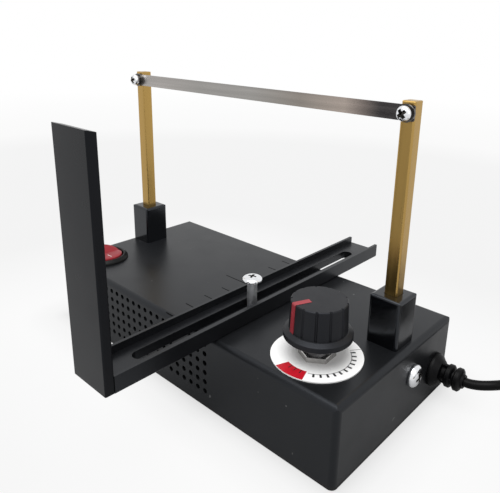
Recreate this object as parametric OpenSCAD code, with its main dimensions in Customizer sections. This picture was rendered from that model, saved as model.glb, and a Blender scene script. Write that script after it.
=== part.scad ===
// Bench-top hot-ribbon cutter for webbing and cord, in millimetres.
// X runs from the switch end to the cord end, Y from the vented front to the back, Z up.
// The origin is the middle of the base plate's underside, on the table.

/* [Box] */
// Length of the box
box_l = 160; // [150:1:200]
// Width of the box, front to back
box_w = 78; // [76:1:110]
// Height of the box above the table
box_h = 30.5; // [29:0.5:45]
// Sheet thickness of the cover
cover_t = 1.2; // [0.8:0.1:1.6]
// Sheet thickness of the base plate
base_t = 1.2; // [0.8:0.1:2]
// Outer radius of the cover's folded edges
edge_r = 2.2; // [1.6:0.1:4]
// Clearance of a piece in its hole or seat
seat_gap = 0.1; // [0.05:0.05:0.3]
// Radial clearance of a turning or threaded fit
run_gap = 0.04; // [0.02:0.01:0.08]

/* [Vents] */
// Spacing of the rows of vent holes
vent_pitch = 4; // [3:0.1:4.2]
// Diameter of a vent hole
vent_d = 2.1; // [1:0.1:2.6]
// Columns of vent holes
vent_cols = 20; // [4:1:20]
// Rows of vent holes
vent_rows = 6; // [2:1:6]
// Last vent column, from the cord end
vent_from_end = 59.2; // [50:0.1:62]
// First vent column, from the switch end
vent_from_start = 24; // [16:0.1:30]
// First vent row, below the top
vent_drop = 3.6; // [3.4:0.1:5]

/* [Cover screws] */
// Thread diameter of a cover screw
end_screw_d = 4; // [3:0.5:5]
// Length of a cover screw under its head
end_screw_l = 6; // [4:0.5:8]
// Head diameter of a cover screw
end_head_d = 8.7; // [7:0.1:11]
// Head height of a cover screw
end_head_h = 2.8; // [1.5:0.1:3.5]
// Cover screws, in front of the gland
end_screw_from_gland = 18.4; // [18:0.1:24]
// Height of the cover screws above the table
end_screw_z = 18.3; // [12:0.1:19]
// Width of the base plate's upright tabs
tab_w = 22; // [12:1:22]
// Height of the tabs above the table
tab_h = 22.4; // [21:0.1:24]

/* [Posts and blade] */
// Width of an insulator block
ins_w = 12.4; // [10:0.1:13]
// Height of an insulator block
ins_h = 18.6; // [14:0.1:24]
// Radius of an insulator's edges
ins_edge_r = 1.2; // [0.4:0.1:1.5]
// Depth of the post's socket in the insulator
socket_depth = 13; // [8:0.5:14]
// Left post, from the switch end
post_from_left = 7.2; // [7.2:0.1:9]
// Right post, from the cord end
post_from_right = 9.2; // [8:0.1:12]
// Posts, behind the box's middle line
post_from_middle = 6.2; // [4:0.1:8]
// Width of a square post
post_w = 5; // [4.2:0.05:5.5]
// Height of the posts above the cover
post_rise = 86.4; // [60:0.1:110]
// Diameter of the stud under a post
stud_d = 4; // [3:0.5:4]
// Height of the blade's middle above the cover
blade_rise = 82.6; // [56:0.1:106]
// Height of the blade
blade_h = 5.2; // [4:0.1:6]
// Thickness of the blade
blade_t = 0.5; // [0.2:0.05:0.8]
// Blade past each screw's middle
blade_end = 2.6; // [2.4:0.1:4]
// Thread diameter of a blade screw
blade_screw_d = 2.5; // [2:0.1:2.8]
// Head diameter of a blade screw
blade_head_d = 5; // [4:0.1:5.6]
// Head height of a blade screw
blade_head_h = 2.2; // [1.2:0.1:2.6]
// Diameter of a flat washer
flat_washer_d = 6; // [5:0.1:6.4]
// Thickness of a flat washer
flat_washer_t = 0.7; // [0.3:0.1:1]
// Diameter of a spring washer
spring_washer_d = 4.7; // [4:0.1:5]
// Thickness of a spring washer
spring_washer_t = 1; // [0.5:0.1:1.4]

/* [Fence] */
// Middle of the rail, from the cord end
rail_from_end = 61.4; // [60:0.1:64]
// Width of the rail
rail_w = 16; // [14:0.1:18]
// Length of the rail behind the upright
rail_l = 149.6; // [130:0.1:170]
// Height of the rail
rail_h = 6.2; // [5.6:0.1:8]
// Thickness of the rail's web
rail_web = 3.4; // [3:0.1:4.4]
// Thickness of the rail's flanges
rail_wall = 1.2; // [1:0.1:1.6]
// Width of the slot
slot_w = 5.2; // [4.5:0.1:5.5]
// Slot's front end, behind the rail's front end
slot_front = 12; // [8:0.5:20]
// Slot's back end, from the rail's back end
slot_back = 12; // [5:0.5:16]
// Width of the upright
upright_w = 18.2; // [16:0.1:20]
// Thickness of the upright
upright_t = 3.4; // [3:0.1:6]
// Top of the upright above the cover
upright_rise = 81; // [40:0.1:90]
// Fall of the upright's top from its face to its back
upright_fall = 0.8; // [0.3:0.1:1.6]
// Upright's lower end above the cover
upright_lift = 0.4; // [0.3:0.1:1]
// Upright's broad face, in front of the box
fence_reach = 44.2; // [20:0.1:60]
// Radius of the fence's edges
fence_edge_r = 0.5; // [0.3:0.1:0.8]
// Width of the rail's tenon, inside the upright
tenon_w = 9; // [6:0.5:11]
// Thickness of the tenon
tenon_t = 2; // [1.4:0.1:2.4]
// Length of the tenon
tenon_l = 2; // [1.2:0.1:2.4]
// Clamp screw, from the front face
clamp_from_front = 27.4; // [20:0.1:32]
// Thread diameter of the clamp screw
clamp_d = 4; // [3:0.5:4]
// Length of the clamp screw under its head
clamp_l = 20; // [18:0.5:22]
// Head diameter of the clamp screw
clamp_head_d = 8; // [6:0.1:8.6]
// Head height of the clamp screw
clamp_head_h = 1.9; // [1.4:0.1:3]
// Underside of the clamp screw's head above the cover
clamp_rise = 12; // [9:0.1:13]

/* [Heat control] */
// Dial's middle, from the cord end
dial_from_end = 22.1; // [22:0.1:26]
// Dial's middle, from the front face
dial_from_front = 18.7; // [18.4:0.1:20]
// Diameter of the dial disc
dial_d = 32.2; // [28:0.1:33]
// Thickness of the dial disc
dial_t = 0.4; // [0.4:0.1:1.2]
// Diameter of the potentiometer's body
pot_d = 16.5; // [14:0.1:18]
// Depth of the potentiometer's body
pot_h = 8.5; // [7:0.1:10]
// Diameter of the potentiometer's bushing
bushing_d = 7; // [6.6:0.1:8]
// Diameter of the potentiometer's shaft
shaft_d = 6; // [4:0.1:6.2]
// Nut across its flats
pot_nut_w = 11.4; // [10:0.1:12]
// Height of the nut
pot_nut_h = 2; // [1.6:0.1:3.4]
// Underside of the knob's skirt above the cover
knob_lift = 7.8; // [5.8:0.1:9]
// Height of the knob
knob_h = 13.6; // [12:0.1:18]
// Diameter of the knob's skirt
skirt_d = 24; // [21:0.1:27]
// Height of the skirt
skirt_h = 2.2; // [1.5:0.1:4]
// Diameter of the knob's grip at its top
grip_d = 19.8; // [15:0.1:20.4]
// Flutes around the grip
flutes = 13; // [8:1:24]
// Depth of a flute
flute_depth = 0.5; // [0.2:0.05:0.8]
// Way the pointer faces, turned from the front
pointer_turn = -24; // [-150:1:150]
// Width of the pointer line
pointer_w = 2.2; // [1.5:0.1:2.8]

/* [Switch] */
// Switch's middle, from the switch end
switch_from_end = 13.2; // [13:0.1:15]
// Switch's middle, from the front face
switch_from_front = 13.5; // [13:0.1:15]
// Diameter of the bezel
bezel_d = 22; // [21.6:0.1:24]
// Height of the bezel
bezel_h = 2; // [1.2:0.1:3]
// Diameter of the barrel
barrel_d = 19.6; // [19.2:0.1:20.4]
// Depth of the barrel below the cover's top
barrel_depth = 16; // [14:0.5:17]
// Diameter of the well that the rocker lies in
well_d = 17.8; // [17.6:0.1:18]
// Rocker's pivot below the cover's top
pivot_drop = 2; // [1.8:0.1:3]
// Diameter of the rocker's pivot pins
pivot_d = 2.2; // [1.6:0.1:2.4]
// Tilt of the rocker at rest
rocker_tilt = 7; // [6:1:11]

/* [Cord] */
// Diameter of the cord
cord_d = 3.6; // [3.2:0.1:4]
// Gland's middle, from the back face
gland_from_back = 11.6; // [11:0.1:14]
// Height of the gland's middle above the table
gland_z = 12; // [10:0.1:13]
// Diameter of the gland's flange
gland_flange_d = 13.2; // [12:0.1:15]
// Diameter of the gland's ribs
gland_rib_d = 9; // [8:0.1:11]
// Gland outside the box
gland_out = 12.5; // [10:0.1:16]
// Turns of cord in a layer of the coil
layer_turns = 2.625; // [1.625:0.5:3.625]

/* [Inside] */
// Length of the transformer's core
core_l = 42; // [36:1:44]
// Transformer's left edge, from the switch end
core_from_left = 27; // [25:0.5:28]
// Width of the transformer's core
core_w = 35; // [30:1:38]
// Stack height of the transformer's core
core_h = 14; // [10:0.5:14]
// Width of the core's outer legs
core_leg = 7; // [6:0.5:7]
// Height of the winding above and below the core
winding_over = 4; // [3:0.1:4]
// Height of the spacers under the core
spacer_h = 6; // [5:0.1:6.5]
// Length of the control board
board_l = 48; // [46:1:50]
// Width of the control board
board_w = 56; // [54:1:58]
// Board's front edge, from the front face
board_from_front = 2.2; // [1.8:0.1:4]
// Board's right edge, from the cord end
board_from_end = 14; // [13:0.5:17]
// Thickness of the control board
board_t = 1.6; // [1:0.1:2]
// Height of the board's standoffs
standoff_h = 5; // [4:0.1:6]
// Thread diameter of the inner screws
inner_screw_d = 3; // [2:0.5:3]
// Diameter of a secondary lead
lead_d = 3; // [2:0.1:3.2]
// Diameter of a mains wire
wire_d = 2; // [1.2:0.1:2]

/* [Hidden] */
$fn = 64;

// Faces of the box, and the step between its vent columns
left = -box_l / 2;
right = box_l / 2;
front = -box_w / 2;
back = box_w / 2;
ceiling = box_h - cover_t;
left_wall = left + cover_t;
right_wall = right - cover_t;
vent_step = (box_l - vent_from_end - vent_from_start) / (vent_cols - 1);
// Overshoot of a cutting shape
cut = 1;
// Dome of a screw's head, and its cross recess as shares of the head
head_flatness = 1.4;
recess_span = 0.52;
recess_line = 0.13;
recess_sink = 0.5;

// Posts and blade
post_y = post_from_middle;
post_left_x = left + post_from_left;
post_right_x = right - post_from_right;
socket_z = box_h + ins_h - socket_depth;
post_top = box_h + post_rise;
post_edge_r = 0.6;
spigot_d = 7.6;
under_washer_d = 10.4;
under_washer_t = 1.5;
lug_t = 0.8;
lug_d = 8;
lug_reach = 13;
lug_barrel_l = 6;
lug_barrel_wall = 0.5;
stud_nut_w = 7;
stud_nut_h = 3.2;
stud_past_nut = 1;
washer_z = ceiling - under_washer_t;
lug_z = washer_z - lug_t;
stud_nut_z = lug_z - stud_nut_h;
stud_end_z = stud_nut_z - stud_past_nut;
blade_z = box_h + blade_rise;
blade_face = post_y - post_w / 2 - blade_t;
flat_washer_face = blade_face - flat_washer_t;
spring_washer_face = flat_washer_face - spring_washer_t;
spring_gap_angle = 14;

// Fence
rail_x = right - rail_from_end;
rail_right = rail_x + rail_w / 2;
upright_x = rail_right - upright_w / 2;
upright_face = front - fence_reach;
rail_front = upright_face + upright_t;
upright_flat = 0.4;
tenon_z = box_h + rail_web - tenon_t;
clamp_y = front + clamp_from_front;
clamp_nut_h = 3.2;
clamp_nut_w = 7;
clamp_rest_turn = 20;

// Heat control
dial_x = right - dial_from_end;
dial_y = front + dial_from_front;
dial_z = box_h + dial_t;
bushing_past_nut = 1;
bushing_top = dial_z + pot_nut_h + bushing_past_nut;
pot_floor = 3;
shaft_seat_z = ceiling - pot_h + pot_floor;
knob_z = box_h + knob_lift;
knob_top = knob_z + knob_h;
knob_bore_depth = 10;
skirt_slope = 0.8;
pointer_inset = 0.03;
pointer_face = grip_d / 2 - pointer_inset;
flute_d = 1.4;
pointer_depth = 0.4;
pointer_inner = 3.6;
pot_nut_turn = 34;
pot_tab_l = 4;
pot_tab_w = 1.6;
pot_tab_pitch = 4.8;

// Switch
switch_x = left + switch_from_end;
switch_y = front + switch_from_front;
pivot_z = box_h - pivot_drop;
well_depth = 11;
rocker_swing_gap = 0.3;
rocker_top = 3.4;
rocker_dip = 1.4;
rocker_tip_h = pivot_drop + rocker_top;
rocker_reach = well_d / 2 - rocker_swing_gap - rocker_tip_h * sin(rocker_tilt);
rocker_half = rocker_reach / cos(rocker_tilt);
rocker_low = 4;
spade_w = 6.3;
spade_t = 0.8;
spade_l = 7;

// Cord
gland_y = back - gland_from_back;
end_screw_y = gland_y - end_screw_from_gland;
gland_thread_d = 9;
cord_sheath = 0.6;
gland_bore_d = cord_d - 2 * cord_sheath;
gland_rim = 1;
gland_collar = 2.6;
gland_rib_depth = 1.5;
gland_rib_pitch = 3.4;
gland_rib_t = 2.1;
gland_rib_slope = 0.3;
gland_inside = 8;
gland_nut_w = 12;
gland_nut_h = 4;
lead_start = right + gland_out;
tie_t = 0.8;
tie_w = 4;
tie_gap = 0.3;
turn_gap = 0.5;
coil_pitch = cord_d + turn_gap;
coil_layers = 4;
coil_sides = 6;
lead_sides = 8;
coil_rings = 24;
coil_z = tie_t + tie_gap + cord_d / 2;
coil_outer = 26.4;
coil_turns = layer_turns * coil_layers;
coil_inner = coil_outer - coil_pitch * layer_turns;
coil_top = coil_z + coil_pitch * (coil_layers - 1);
// Bends of the lead past the gland: distance out, distance back, share of the gland's height
lead_bends = [
    [0, 0, 1], [2, 0.14, 1.016], [3.95, 0.55, 1.049], [5.85, 1.22, 1.088],
    [7.6, 2.15, 1.126], [9.2, 3.3, 1.154], [10.7, 4.7, 1.17], [13.05, 7.95, 1.154],
    [14.9, 12.05, 1.055], [15.85, 16.45, 0.879], [16.1, 21.45, 0.626], [16.1, 26.4, 0.385],
    [16.1, 31.4, 0.176], [16.1, 36.4, 0.044], [16.1, 41.4, 0], [16.1, 44, 0]
];
lead_end = lead_bends[len(lead_bends) - 1];
lead_route = [
    for (b = lead_bends) [lead_start + b[0], gland_y + b[1], coil_z + (gland_z - coil_z) * b[2]]
];
coil_middle = [lead_start + lead_end[0] + coil_outer, gland_y + lead_end[1] + cord_d];
plug_sleeve_l = 14;
plug_sleeve_wall = 1.2;
plug_body_l = 26;
plug_body_w = 22;
plug_body_h = 11.6;
plug_edge_r = 2.4;
plug_pin_w = 6.3;
plug_pin_t = 1.5;
plug_pin_l = 17;
plug_pin_root = 6;
plug_pin_spread = 12.7;
plug_z = plug_body_h / 2;
plug_x = coil_middle[0] + coil_outer;
tail_start = coil_middle[1] - cord_d;
// Bends of the tail down to the plug: distance forward, share of the coil's height
tail_bends = [[0, 1], [4.4, 0.98], [10.4, 0.81], [16.4, 0.51], [22.4, 0.22], [28.4, 0.04], [33.4, 0]];
plug_back = tail_start - tail_bends[len(tail_bends) - 1][0];
tail_route = [for (b = tail_bends) [plug_x, tail_start - b[0], plug_z + (coil_top - plug_z) * b[1]]];

// Inside
core_x = left + core_from_left + core_l / 2;
core_y = post_y;
core_z = base_t + spacer_h;
core_mid_z = core_z + core_h / 2;
core_window_w = (core_l - 4 * core_leg) / 2;
winding_gap = 0.3;
winding_l = core_l - 2 * core_leg - 2 * winding_gap;
winding_w = core_w - 2 * core_leg - 2 * winding_gap;
winding_h = core_h + 2 * winding_over;
winding_top_z = core_z + core_h + winding_over / 2;
core_hole_inset = 3.5;
inner_head_d = 5.4;
inner_head_h = 1.8;
boss_d = 6;
board_x = right - board_from_end - board_l / 2;
board_y = front + board_from_front + board_w / 2;
board_front_y = board_y - board_w / 2;
board_back_y = board_y + board_w / 2;
board_z = base_t + standoff_h;
board_top = board_z + board_t;
board_hole_inset = 4;
board_screw_l = 4.5;
board_hole_slack = 0.6;
board_screw_d = inner_screw_d - board_hole_slack;
capacitor_d = 12.5;
capacitor_h = 12;
capacitor_at = [board_x + 11, board_back_y - 10];
sink_size = [18, 8, 12];
sink_at = [board_x - 6, board_back_y - 8];
sink_fins = 4;
sink_fin_gap = 2.4;
transistor_size = [10, 4.4, 10];
terminal_size = [20, 8, 9];
terminal_at = [board_x, board_front_y + 7];
terminal_ways = 4;
terminal_mouth_d = 3.4;
wire_gap = 0.6;
wire_lift = 0.4;
wire_step = wire_d + wire_gap;
wire_y = back - cover_t - wire_gap - wire_d / 2 - wire_step;
wire_from_left = 17;
wire_x = left + wire_from_left;
wire_z = base_t + wire_d / 2 + wire_lift;
wire_turn = 12;
wire_corner = 3;
wire_rise = 2;

// Tubes swept along a list of points
function unit(v) = v / norm(v);
function heading(path, i) = unit(path[min(i + 1, len(path) - 1)] - path[max(i - 1, 0)]);
function ring(p, t, r, n, ref) =
    let (s = unit(cross(t, ref)), u = cross(s, t))
    [for (j = [0:n - 1]) p + r * (cos(360 * j / n) * s + sin(360 * j / n) * u)];
function tube_points(path, r, n, ref) =
    [for (i = [0:len(path) - 1]) each ring(path[i], heading(path, i), r, n, ref)];
function tube_faces(m, n) = concat(
    [for (j = [1:n - 2]) [0, j + 1, j]],
    [for (i = [0:m - 2], j = [0:n - 1])
        each let (a = i * n + j, b = i * n + (j + 1) % n) [[a, b, a + n], [b, b + n, a + n]]],
    [for (j = [1:n - 2]) let (k = (m - 1) * n) [k, k + j, k + j + 1]]
);

module tube(path, d, sides, ref = [0, 0, 1]) {
    polyhedron(tube_points(path, d / 2, sides, ref), tube_faces(len(path), sides));
}

// Coil of cord: it spirals in and out again, and climbs a layer in the half turn of each reversal
function smooth_step(t) = let (c = min(max(t, 0), 1)) c * c * (3 - 2 * c);
function coil_radius(t) =
    let (u = t % (2 * layer_turns))
    coil_outer - coil_pitch * (u < layer_turns ? u : 2 * layer_turns - u);
function climb(t, k) = k < 1 ? 0 : smooth_step((t - k * layer_turns + 0.25) / 0.5) + climb(t, k - 1);
function coil_point(t) =
    let (r = coil_radius(t), a = 180 - 360 * t, layer = climb(t, coil_layers - 1))
    [coil_middle[0] + r * cos(a), coil_middle[1] + r * sin(a), coil_z + coil_pitch * layer];
coil_steps = round(coil_turns * coil_rings);
coil_route = concat(
    [[coil_middle[0] - coil_outer, coil_middle[1] - cord_d, coil_z]],
    [for (i = [0:coil_steps]) coil_point(i / coil_rings)],
    [[plug_x, tail_start, coil_top]]
);
// Length of a route, and the least gap of the coil to itself half a turn or more along it
function route_length(p, i = 1) = i >= len(p) ? 0 : norm(p[i] - p[i - 1]) + route_length(p, i + 1);
coil_self_gap = min([
    for (i = [0:len(coil_route) - 1], j = [i + coil_rings / 2:1:len(coil_route) - 1])
        norm(coil_route[i] - coil_route[j])
]) - cord_d;
cord_length = route_length(lead_route) + route_length(coil_route) + route_length(tail_route);
echo(coil_self_gap = coil_self_gap, coil_inner = coil_inner, cord_length = cord_length);

// Flat shapes
module rounded_rect(l, w, r) {
    square([l - 2 * r, w], center = true);
    square([l, w - 2 * r], center = true);
    for (sx = [-1, 1], sy = [-1, 1])
        translate([sx * (l / 2 - r), sy * (w / 2 - r)])
            circle(r);
}

// Rectangle from y = 0 upwards whose two upper corners are round
module round_top(w, h, r) {
    translate([-w / 2, 0])
        square([w, h - r]);
    translate([-w / 2 + r, 0])
        square([w - 2 * r, h]);
    for (s = [-1, 1])
        translate([s * (w / 2 - r), h - r])
            circle(r);
}

module slot_shape(l, w) {
    square([w, l - w], center = true);
    for (s = [-1, 1])
        translate([0, s * (l - w) / 2])
            circle(d = w);
}

// Channel open towards +Y, with its outer corners round
module channel_shape(w, depth, wall, web, r) {
    difference() {
        intersection() {
            rounded_rect(w, 2 * depth, r);
            translate([-w / 2, -depth])
                square([w, depth]);
        }
        translate([-w / 2 + wall, -depth + web])
            square([w - 2 * wall, depth]);
    }
}

// Block with round upright edges and a round upper rim, standing on z = 0
module soft_block(l, w, h, r) {
    intersection() {
        linear_extrude(h)
            rounded_rect(l, w, r);
        rotate([90, 0, 0])
            translate([0, 0, -w])
                linear_extrude(2 * w)
                    round_top(l, h, r);
        rotate([90, 0, 90])
            translate([0, 0, -l])
                linear_extrude(2 * l)
                    round_top(w, h, r);
    }
}

// Domed head on z = 0 with a cross recess, and its shank below
module cross_screw(d, l, head_d, head_h) {
    dome_r = (head_d * head_d / 4 + head_h * head_h) / (2 * head_h) * head_flatness;
    recess_l = head_d * recess_span;
    recess_w = head_d * recess_line;
    recess_depth = head_h * recess_sink;
    difference() {
        intersection() {
            cylinder(d = head_d, h = head_h);
            translate([0, 0, head_h - dome_r])
                sphere(dome_r);
        }
        for (turn = [0, 90])
            rotate(turn)
                translate([-recess_l / 2, -recess_w / 2, head_h - recess_depth])
                    cube([recess_l, recess_w, head_h]);
    }
    translate([0, 0, -l])
        cylinder(d = d, h = l);
}

// Hexagonal nut standing on z = 0, with its upper corners turned off
module hex_nut(flats, h, bore_d) {
    corners = flats / cos(30);
    difference() {
        intersection() {
            cylinder(d = corners, h = h, $fn = 6);
            cylinder(d1 = corners + 2 * h, d2 = flats, h = h);
        }
        translate([0, 0, -cut])
            cylinder(d = bore_d, h = h + 2 * cut);
    }
}

module washer(d, bore_d, t) {
    difference() {
        cylinder(d = d, h = t);
        translate([0, 0, -cut])
            cylinder(d = bore_d, h = t + 2 * cut);
    }
}

module at_posts() {
    for (x = [post_left_x, post_right_x])
        translate([x, post_y, 0])
            children();
}

// Turns what stands on z = 0 to face the front, at the blade's two screws
module at_blade_ends(y) {
    for (x = [post_left_x, post_right_x])
        translate([x, y, blade_z])
            rotate([90, 0, 0])
                children();
}

module at_corners(x, y, l, w, inset) {
    for (sx = [-1, 1], sy = [-1, 1])
        translate([x + sx * (l / 2 - inset), y + sy * (w / 2 - inset), 0])
            children();
}

// Box
module vent_cuts() {
    for (c = [0:vent_cols - 1], r = [0:vent_rows - 1])
        translate([left + vent_from_start + c * vent_step, front - cut, box_h - vent_drop - r * vent_pitch])
            rotate([-90, 0, 0])
                cylinder(d = vent_d, h = cover_t + 2 * cut, $fn = 16);
}

module cover() {
    color("#27282a")
    difference() {
        translate([0, 0, base_t])
            soft_block(box_l, box_w, box_h - base_t, edge_r);
        translate([0, 0, base_t - cut])
            linear_extrude(ceiling - base_t + cut)
                rounded_rect(box_l - 2 * cover_t, box_w - 2 * cover_t, edge_r - cover_t + seat_gap);
        vent_cuts();
        at_posts()
            translate([0, 0, ceiling - cut])
                cylinder(d = spigot_d + 2 * seat_gap, h = cover_t + 2 * cut);
        translate([rail_x, clamp_y, ceiling - cut])
            cylinder(d = slot_w, h = cover_t + 2 * cut);
        translate([dial_x, dial_y, ceiling - cut])
            cylinder(d = bushing_d + 2 * seat_gap, h = cover_t + 2 * cut);
        translate([switch_x, switch_y, ceiling - cut])
            cylinder(d = barrel_d + 2 * seat_gap, h = cover_t + 2 * cut);
        translate([left - cut, end_screw_y, end_screw_z])
            rotate([0, 90, 0])
                cylinder(d = end_screw_d + 2 * seat_gap, h = cover_t + 2 * cut);
        translate([right_wall - cut, end_screw_y, end_screw_z])
            rotate([0, 90, 0])
                cylinder(d = end_screw_d + 2 * seat_gap, h = cover_t + 2 * cut);
        translate([right_wall - cut, gland_y, gland_z])
            rotate([0, 90, 0])
                cylinder(d = gland_thread_d + 2 * seat_gap, h = cover_t + 2 * cut);
    }
}

module base_plate() {
    tab_x = right_wall - seat_gap - base_t / 2;
    color("#3a3b3d")
    difference() {
        union() {
            linear_extrude(base_t)
                rounded_rect(box_l, box_w, edge_r);
            for (s = [-1, 1])
                translate([s * tab_x - base_t / 2, end_screw_y - tab_w / 2, 0])
                    cube([base_t, tab_w, tab_h]);
        }
        translate([left - cut, end_screw_y, end_screw_z])
            rotate([0, 90, 0])
                cylinder(d = end_screw_d + 2 * run_gap, h = box_l + 2 * cut);
        at_corners(core_x, core_y, core_l, core_w, core_hole_inset)
            translate([0, 0, -cut])
                cylinder(d = inner_screw_d + 2 * run_gap, h = base_t + 2 * cut);
        at_corners(board_x, board_y, board_l, board_w, board_hole_inset)
            translate([0, 0, -cut])
                cylinder(d = inner_screw_d + 2 * run_gap, h = base_t + 2 * cut);
    }
}

module cover_screws() {
    color("gainsboro")
    for (s = [0, 180])
        translate([0, end_screw_y, end_screw_z])
            rotate([0, 0, s])
                translate([right, 0, 0])
                    rotate([0, 90, 0])
                        cross_screw(end_screw_d, end_screw_l, end_head_d, end_head_h);
}

// Posts, insulators and what holds them
module insulator() {
    color("#1b1b1d")
    difference() {
        union() {
            translate([0, 0, box_h])
                soft_block(ins_w, ins_w, ins_h, ins_edge_r);
            translate([0, 0, ceiling])
                cylinder(d = spigot_d, h = cover_t + cut);
        }
        translate([0, 0, socket_z])
            linear_extrude(socket_depth + cut)
                square(post_w + 2 * seat_gap, center = true);
        translate([0, 0, ceiling - cut])
            cylinder(d = stud_d + 2 * seat_gap, h = ins_h + cover_t);
    }
}

module insulator_left() {
    translate([post_left_x, post_y, 0])
        insulator();
}

module insulator_right() {
    translate([post_right_x, post_y, 0])
        insulator();
}

module post() {
    color("#b8923f")
    difference() {
        union() {
            translate([0, 0, socket_z])
                soft_block(post_w, post_w, post_top - socket_z, post_edge_r);
            translate([0, 0, stud_end_z])
                cylinder(d = stud_d, h = socket_z - stud_end_z + cut);
        }
        translate([0, post_w, blade_z])
            rotate([90, 0, 0])
                cylinder(d = blade_screw_d + 2 * run_gap, h = 2 * post_w);
    }
}

module post_left() {
    translate([post_left_x, post_y, 0])
        post();
}

module post_right() {
    translate([post_right_x, post_y, 0])
        post();
}

module blade() {
    blade_l = post_right_x - post_left_x + 2 * blade_end;
    color("#8d8f92")
    difference() {
        translate([(post_left_x + post_right_x) / 2, blade_face + blade_t, blade_z])
            rotate([90, 0, 0])
                linear_extrude(blade_t)
                    rounded_rect(blade_l, blade_h, post_edge_r);
        at_blade_ends(blade_face - cut)
            translate([0, 0, -blade_t - 2 * cut])
                cylinder(d = blade_screw_d + 2 * seat_gap, h = blade_t + 2 * cut);
    }
}

module blade_screws() {
    color("gainsboro")
    at_blade_ends(spring_washer_face)
        cross_screw(blade_screw_d, post_y + post_w / 2 - spring_washer_face, blade_head_d, blade_head_h);
}

module spring_washers() {
    color("silver")
    at_blade_ends(flat_washer_face)
        difference() {
            washer(spring_washer_d, blade_screw_d + 2 * seat_gap, spring_washer_t);
            rotate([0, spring_gap_angle, 0])
                translate([-spring_washer_t / 4, 0, -cut])
                    cube([spring_washer_t / 2, spring_washer_d, spring_washer_t + 2 * cut]);
        }
}

module flat_washers() {
    color("silver")
    at_blade_ends(blade_face)
        washer(flat_washer_d, blade_screw_d + 2 * seat_gap, flat_washer_t);
}

module insulating_washers() {
    color("#d8d2bd")
    at_posts()
        translate([0, 0, washer_z])
            washer(under_washer_d, stud_d + 2 * seat_gap, under_washer_t);
}

// Ring lug that reaches towards +X and ends in a crimped barrel
module lug() {
    barrel_d = lead_d + 2 * lug_barrel_wall;
    barrel_z = lug_z + lug_t - barrel_d / 2;
    difference() {
        union() {
            translate([0, 0, lug_z])
                cylinder(d = lug_d, h = lug_t);
            translate([0, -barrel_d / 2, lug_z])
                cube([lug_reach - lug_barrel_l, barrel_d, lug_t]);
            translate([lug_reach - lug_barrel_l, 0, barrel_z])
                rotate([0, 90, 0])
                    cylinder(d = barrel_d, h = lug_barrel_l);
        }
        translate([0, 0, lug_z - cut])
            cylinder(d = stud_d + 2 * seat_gap, h = lug_t + 2 * cut);
        translate([lug_reach - lug_barrel_l + lug_t, 0, barrel_z])
            rotate([0, 90, 0])
                cylinder(d = lead_d + 2 * run_gap, h = lug_barrel_l);
    }
}

module terminal_lugs() {
    color("tan") {
        translate([post_left_x, post_y, 0])
            lug();
        translate([post_right_x, post_y, 0])
            rotate(180)
                lug();
    }
}

module post_nuts() {
    color("silver")
    at_posts()
        translate([0, 0, stud_nut_z])
            hex_nut(stud_nut_w, stud_nut_h, stud_d + 2 * run_gap);
}

lead_z = lug_z + lug_t - lead_d / 2 - lug_barrel_wall;
lead_left_x = post_left_x + lug_reach;
lead_right_x = post_right_x - lug_reach;
winding_left = core_x - winding_l / 2;
winding_right = core_x + winding_l / 2;
lead_grip = 4;
lead_run = 3;
lead_droop = 0.3;

module secondary_lead_left() {
    span = winding_left - lead_left_x;
    route = [
        [lead_left_x - lead_grip, post_y, lead_z], [lead_left_x, post_y, lead_z],
        [lead_left_x + span * 0.25, post_y, lead_z - lead_droop],
        [lead_left_x + span * 0.5, post_y, (lead_z + winding_top_z) / 2],
        [winding_left - span * 0.2, post_y, winding_top_z], [winding_left, post_y, winding_top_z]
    ];
    color("#c76b3a")
    tube(route, lead_d, lead_sides);
}

module secondary_lead_right() {
    span = lead_right_x - winding_right;
    route = [
        [winding_right, post_y, winding_top_z], [winding_right + lead_run, post_y, winding_top_z],
        [winding_right + span * 0.25, post_y, winding_top_z - lead_droop],
        [winding_right + span * 0.5, post_y, winding_top_z - lead_droop],
        [winding_right + span * 0.75, post_y, winding_top_z + lead_droop],
        [lead_right_x - 3 * lead_run, post_y, (lead_z + winding_top_z) / 2],
        [lead_right_x - lead_run, post_y, lead_z - lead_droop], [lead_right_x, post_y, lead_z],
        [lead_right_x + lead_grip, post_y, lead_z]
    ];
    color("#c76b3a")
    tube(route, lead_d, lead_sides);
}

// Fence
// Tenon on the rail's front end, and with a gap the pocket for it in the upright's back
module tenon(gap) {
    translate([rail_x - tenon_w / 2 - gap, rail_front - tenon_l - gap, tenon_z - gap])
        cube([tenon_w + 2 * gap, tenon_l + gap + cut, tenon_t + 2 * gap]);
}

module fence_rail() {
    slot_l = rail_l - slot_front - slot_back;
    slot_mid = rail_front + slot_front + slot_l / 2;
    color("#1d1d1f")
    difference() {
        union() {
            translate([rail_x, rail_front + rail_l, box_h + rail_h])
                rotate([90, 0, 0])
                    linear_extrude(rail_l)
                        channel_shape(rail_w, rail_h, rail_wall, rail_web, fence_edge_r);
            tenon(0);
        }
        translate([rail_x, slot_mid, box_h - cut])
            linear_extrude(rail_web + 2 * cut)
                slot_shape(slot_l, slot_w);
    }
}

module upright_top_cut() {
    slope_l = upright_t - upright_flat;
    translate([upright_x - upright_w / 2 - cut, upright_face, box_h + upright_rise])
        rotate([90, 0, 90])
            linear_extrude(upright_w + 2 * cut)
                polygon([
                    [upright_flat - slope_l, upright_fall],
                    [upright_t + slope_l, -2 * upright_fall],
                    [upright_t + slope_l, upright_fall],
                ]);
}

module fence_upright() {
    color("#1d1d1f")
    difference() {
        translate([upright_x, upright_face + upright_t / 2, box_h + upright_lift])
            linear_extrude(upright_rise - upright_lift)
                rounded_rect(upright_w, upright_t, fence_edge_r);
        upright_top_cut();
        tenon(seat_gap);
    }
}

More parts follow.
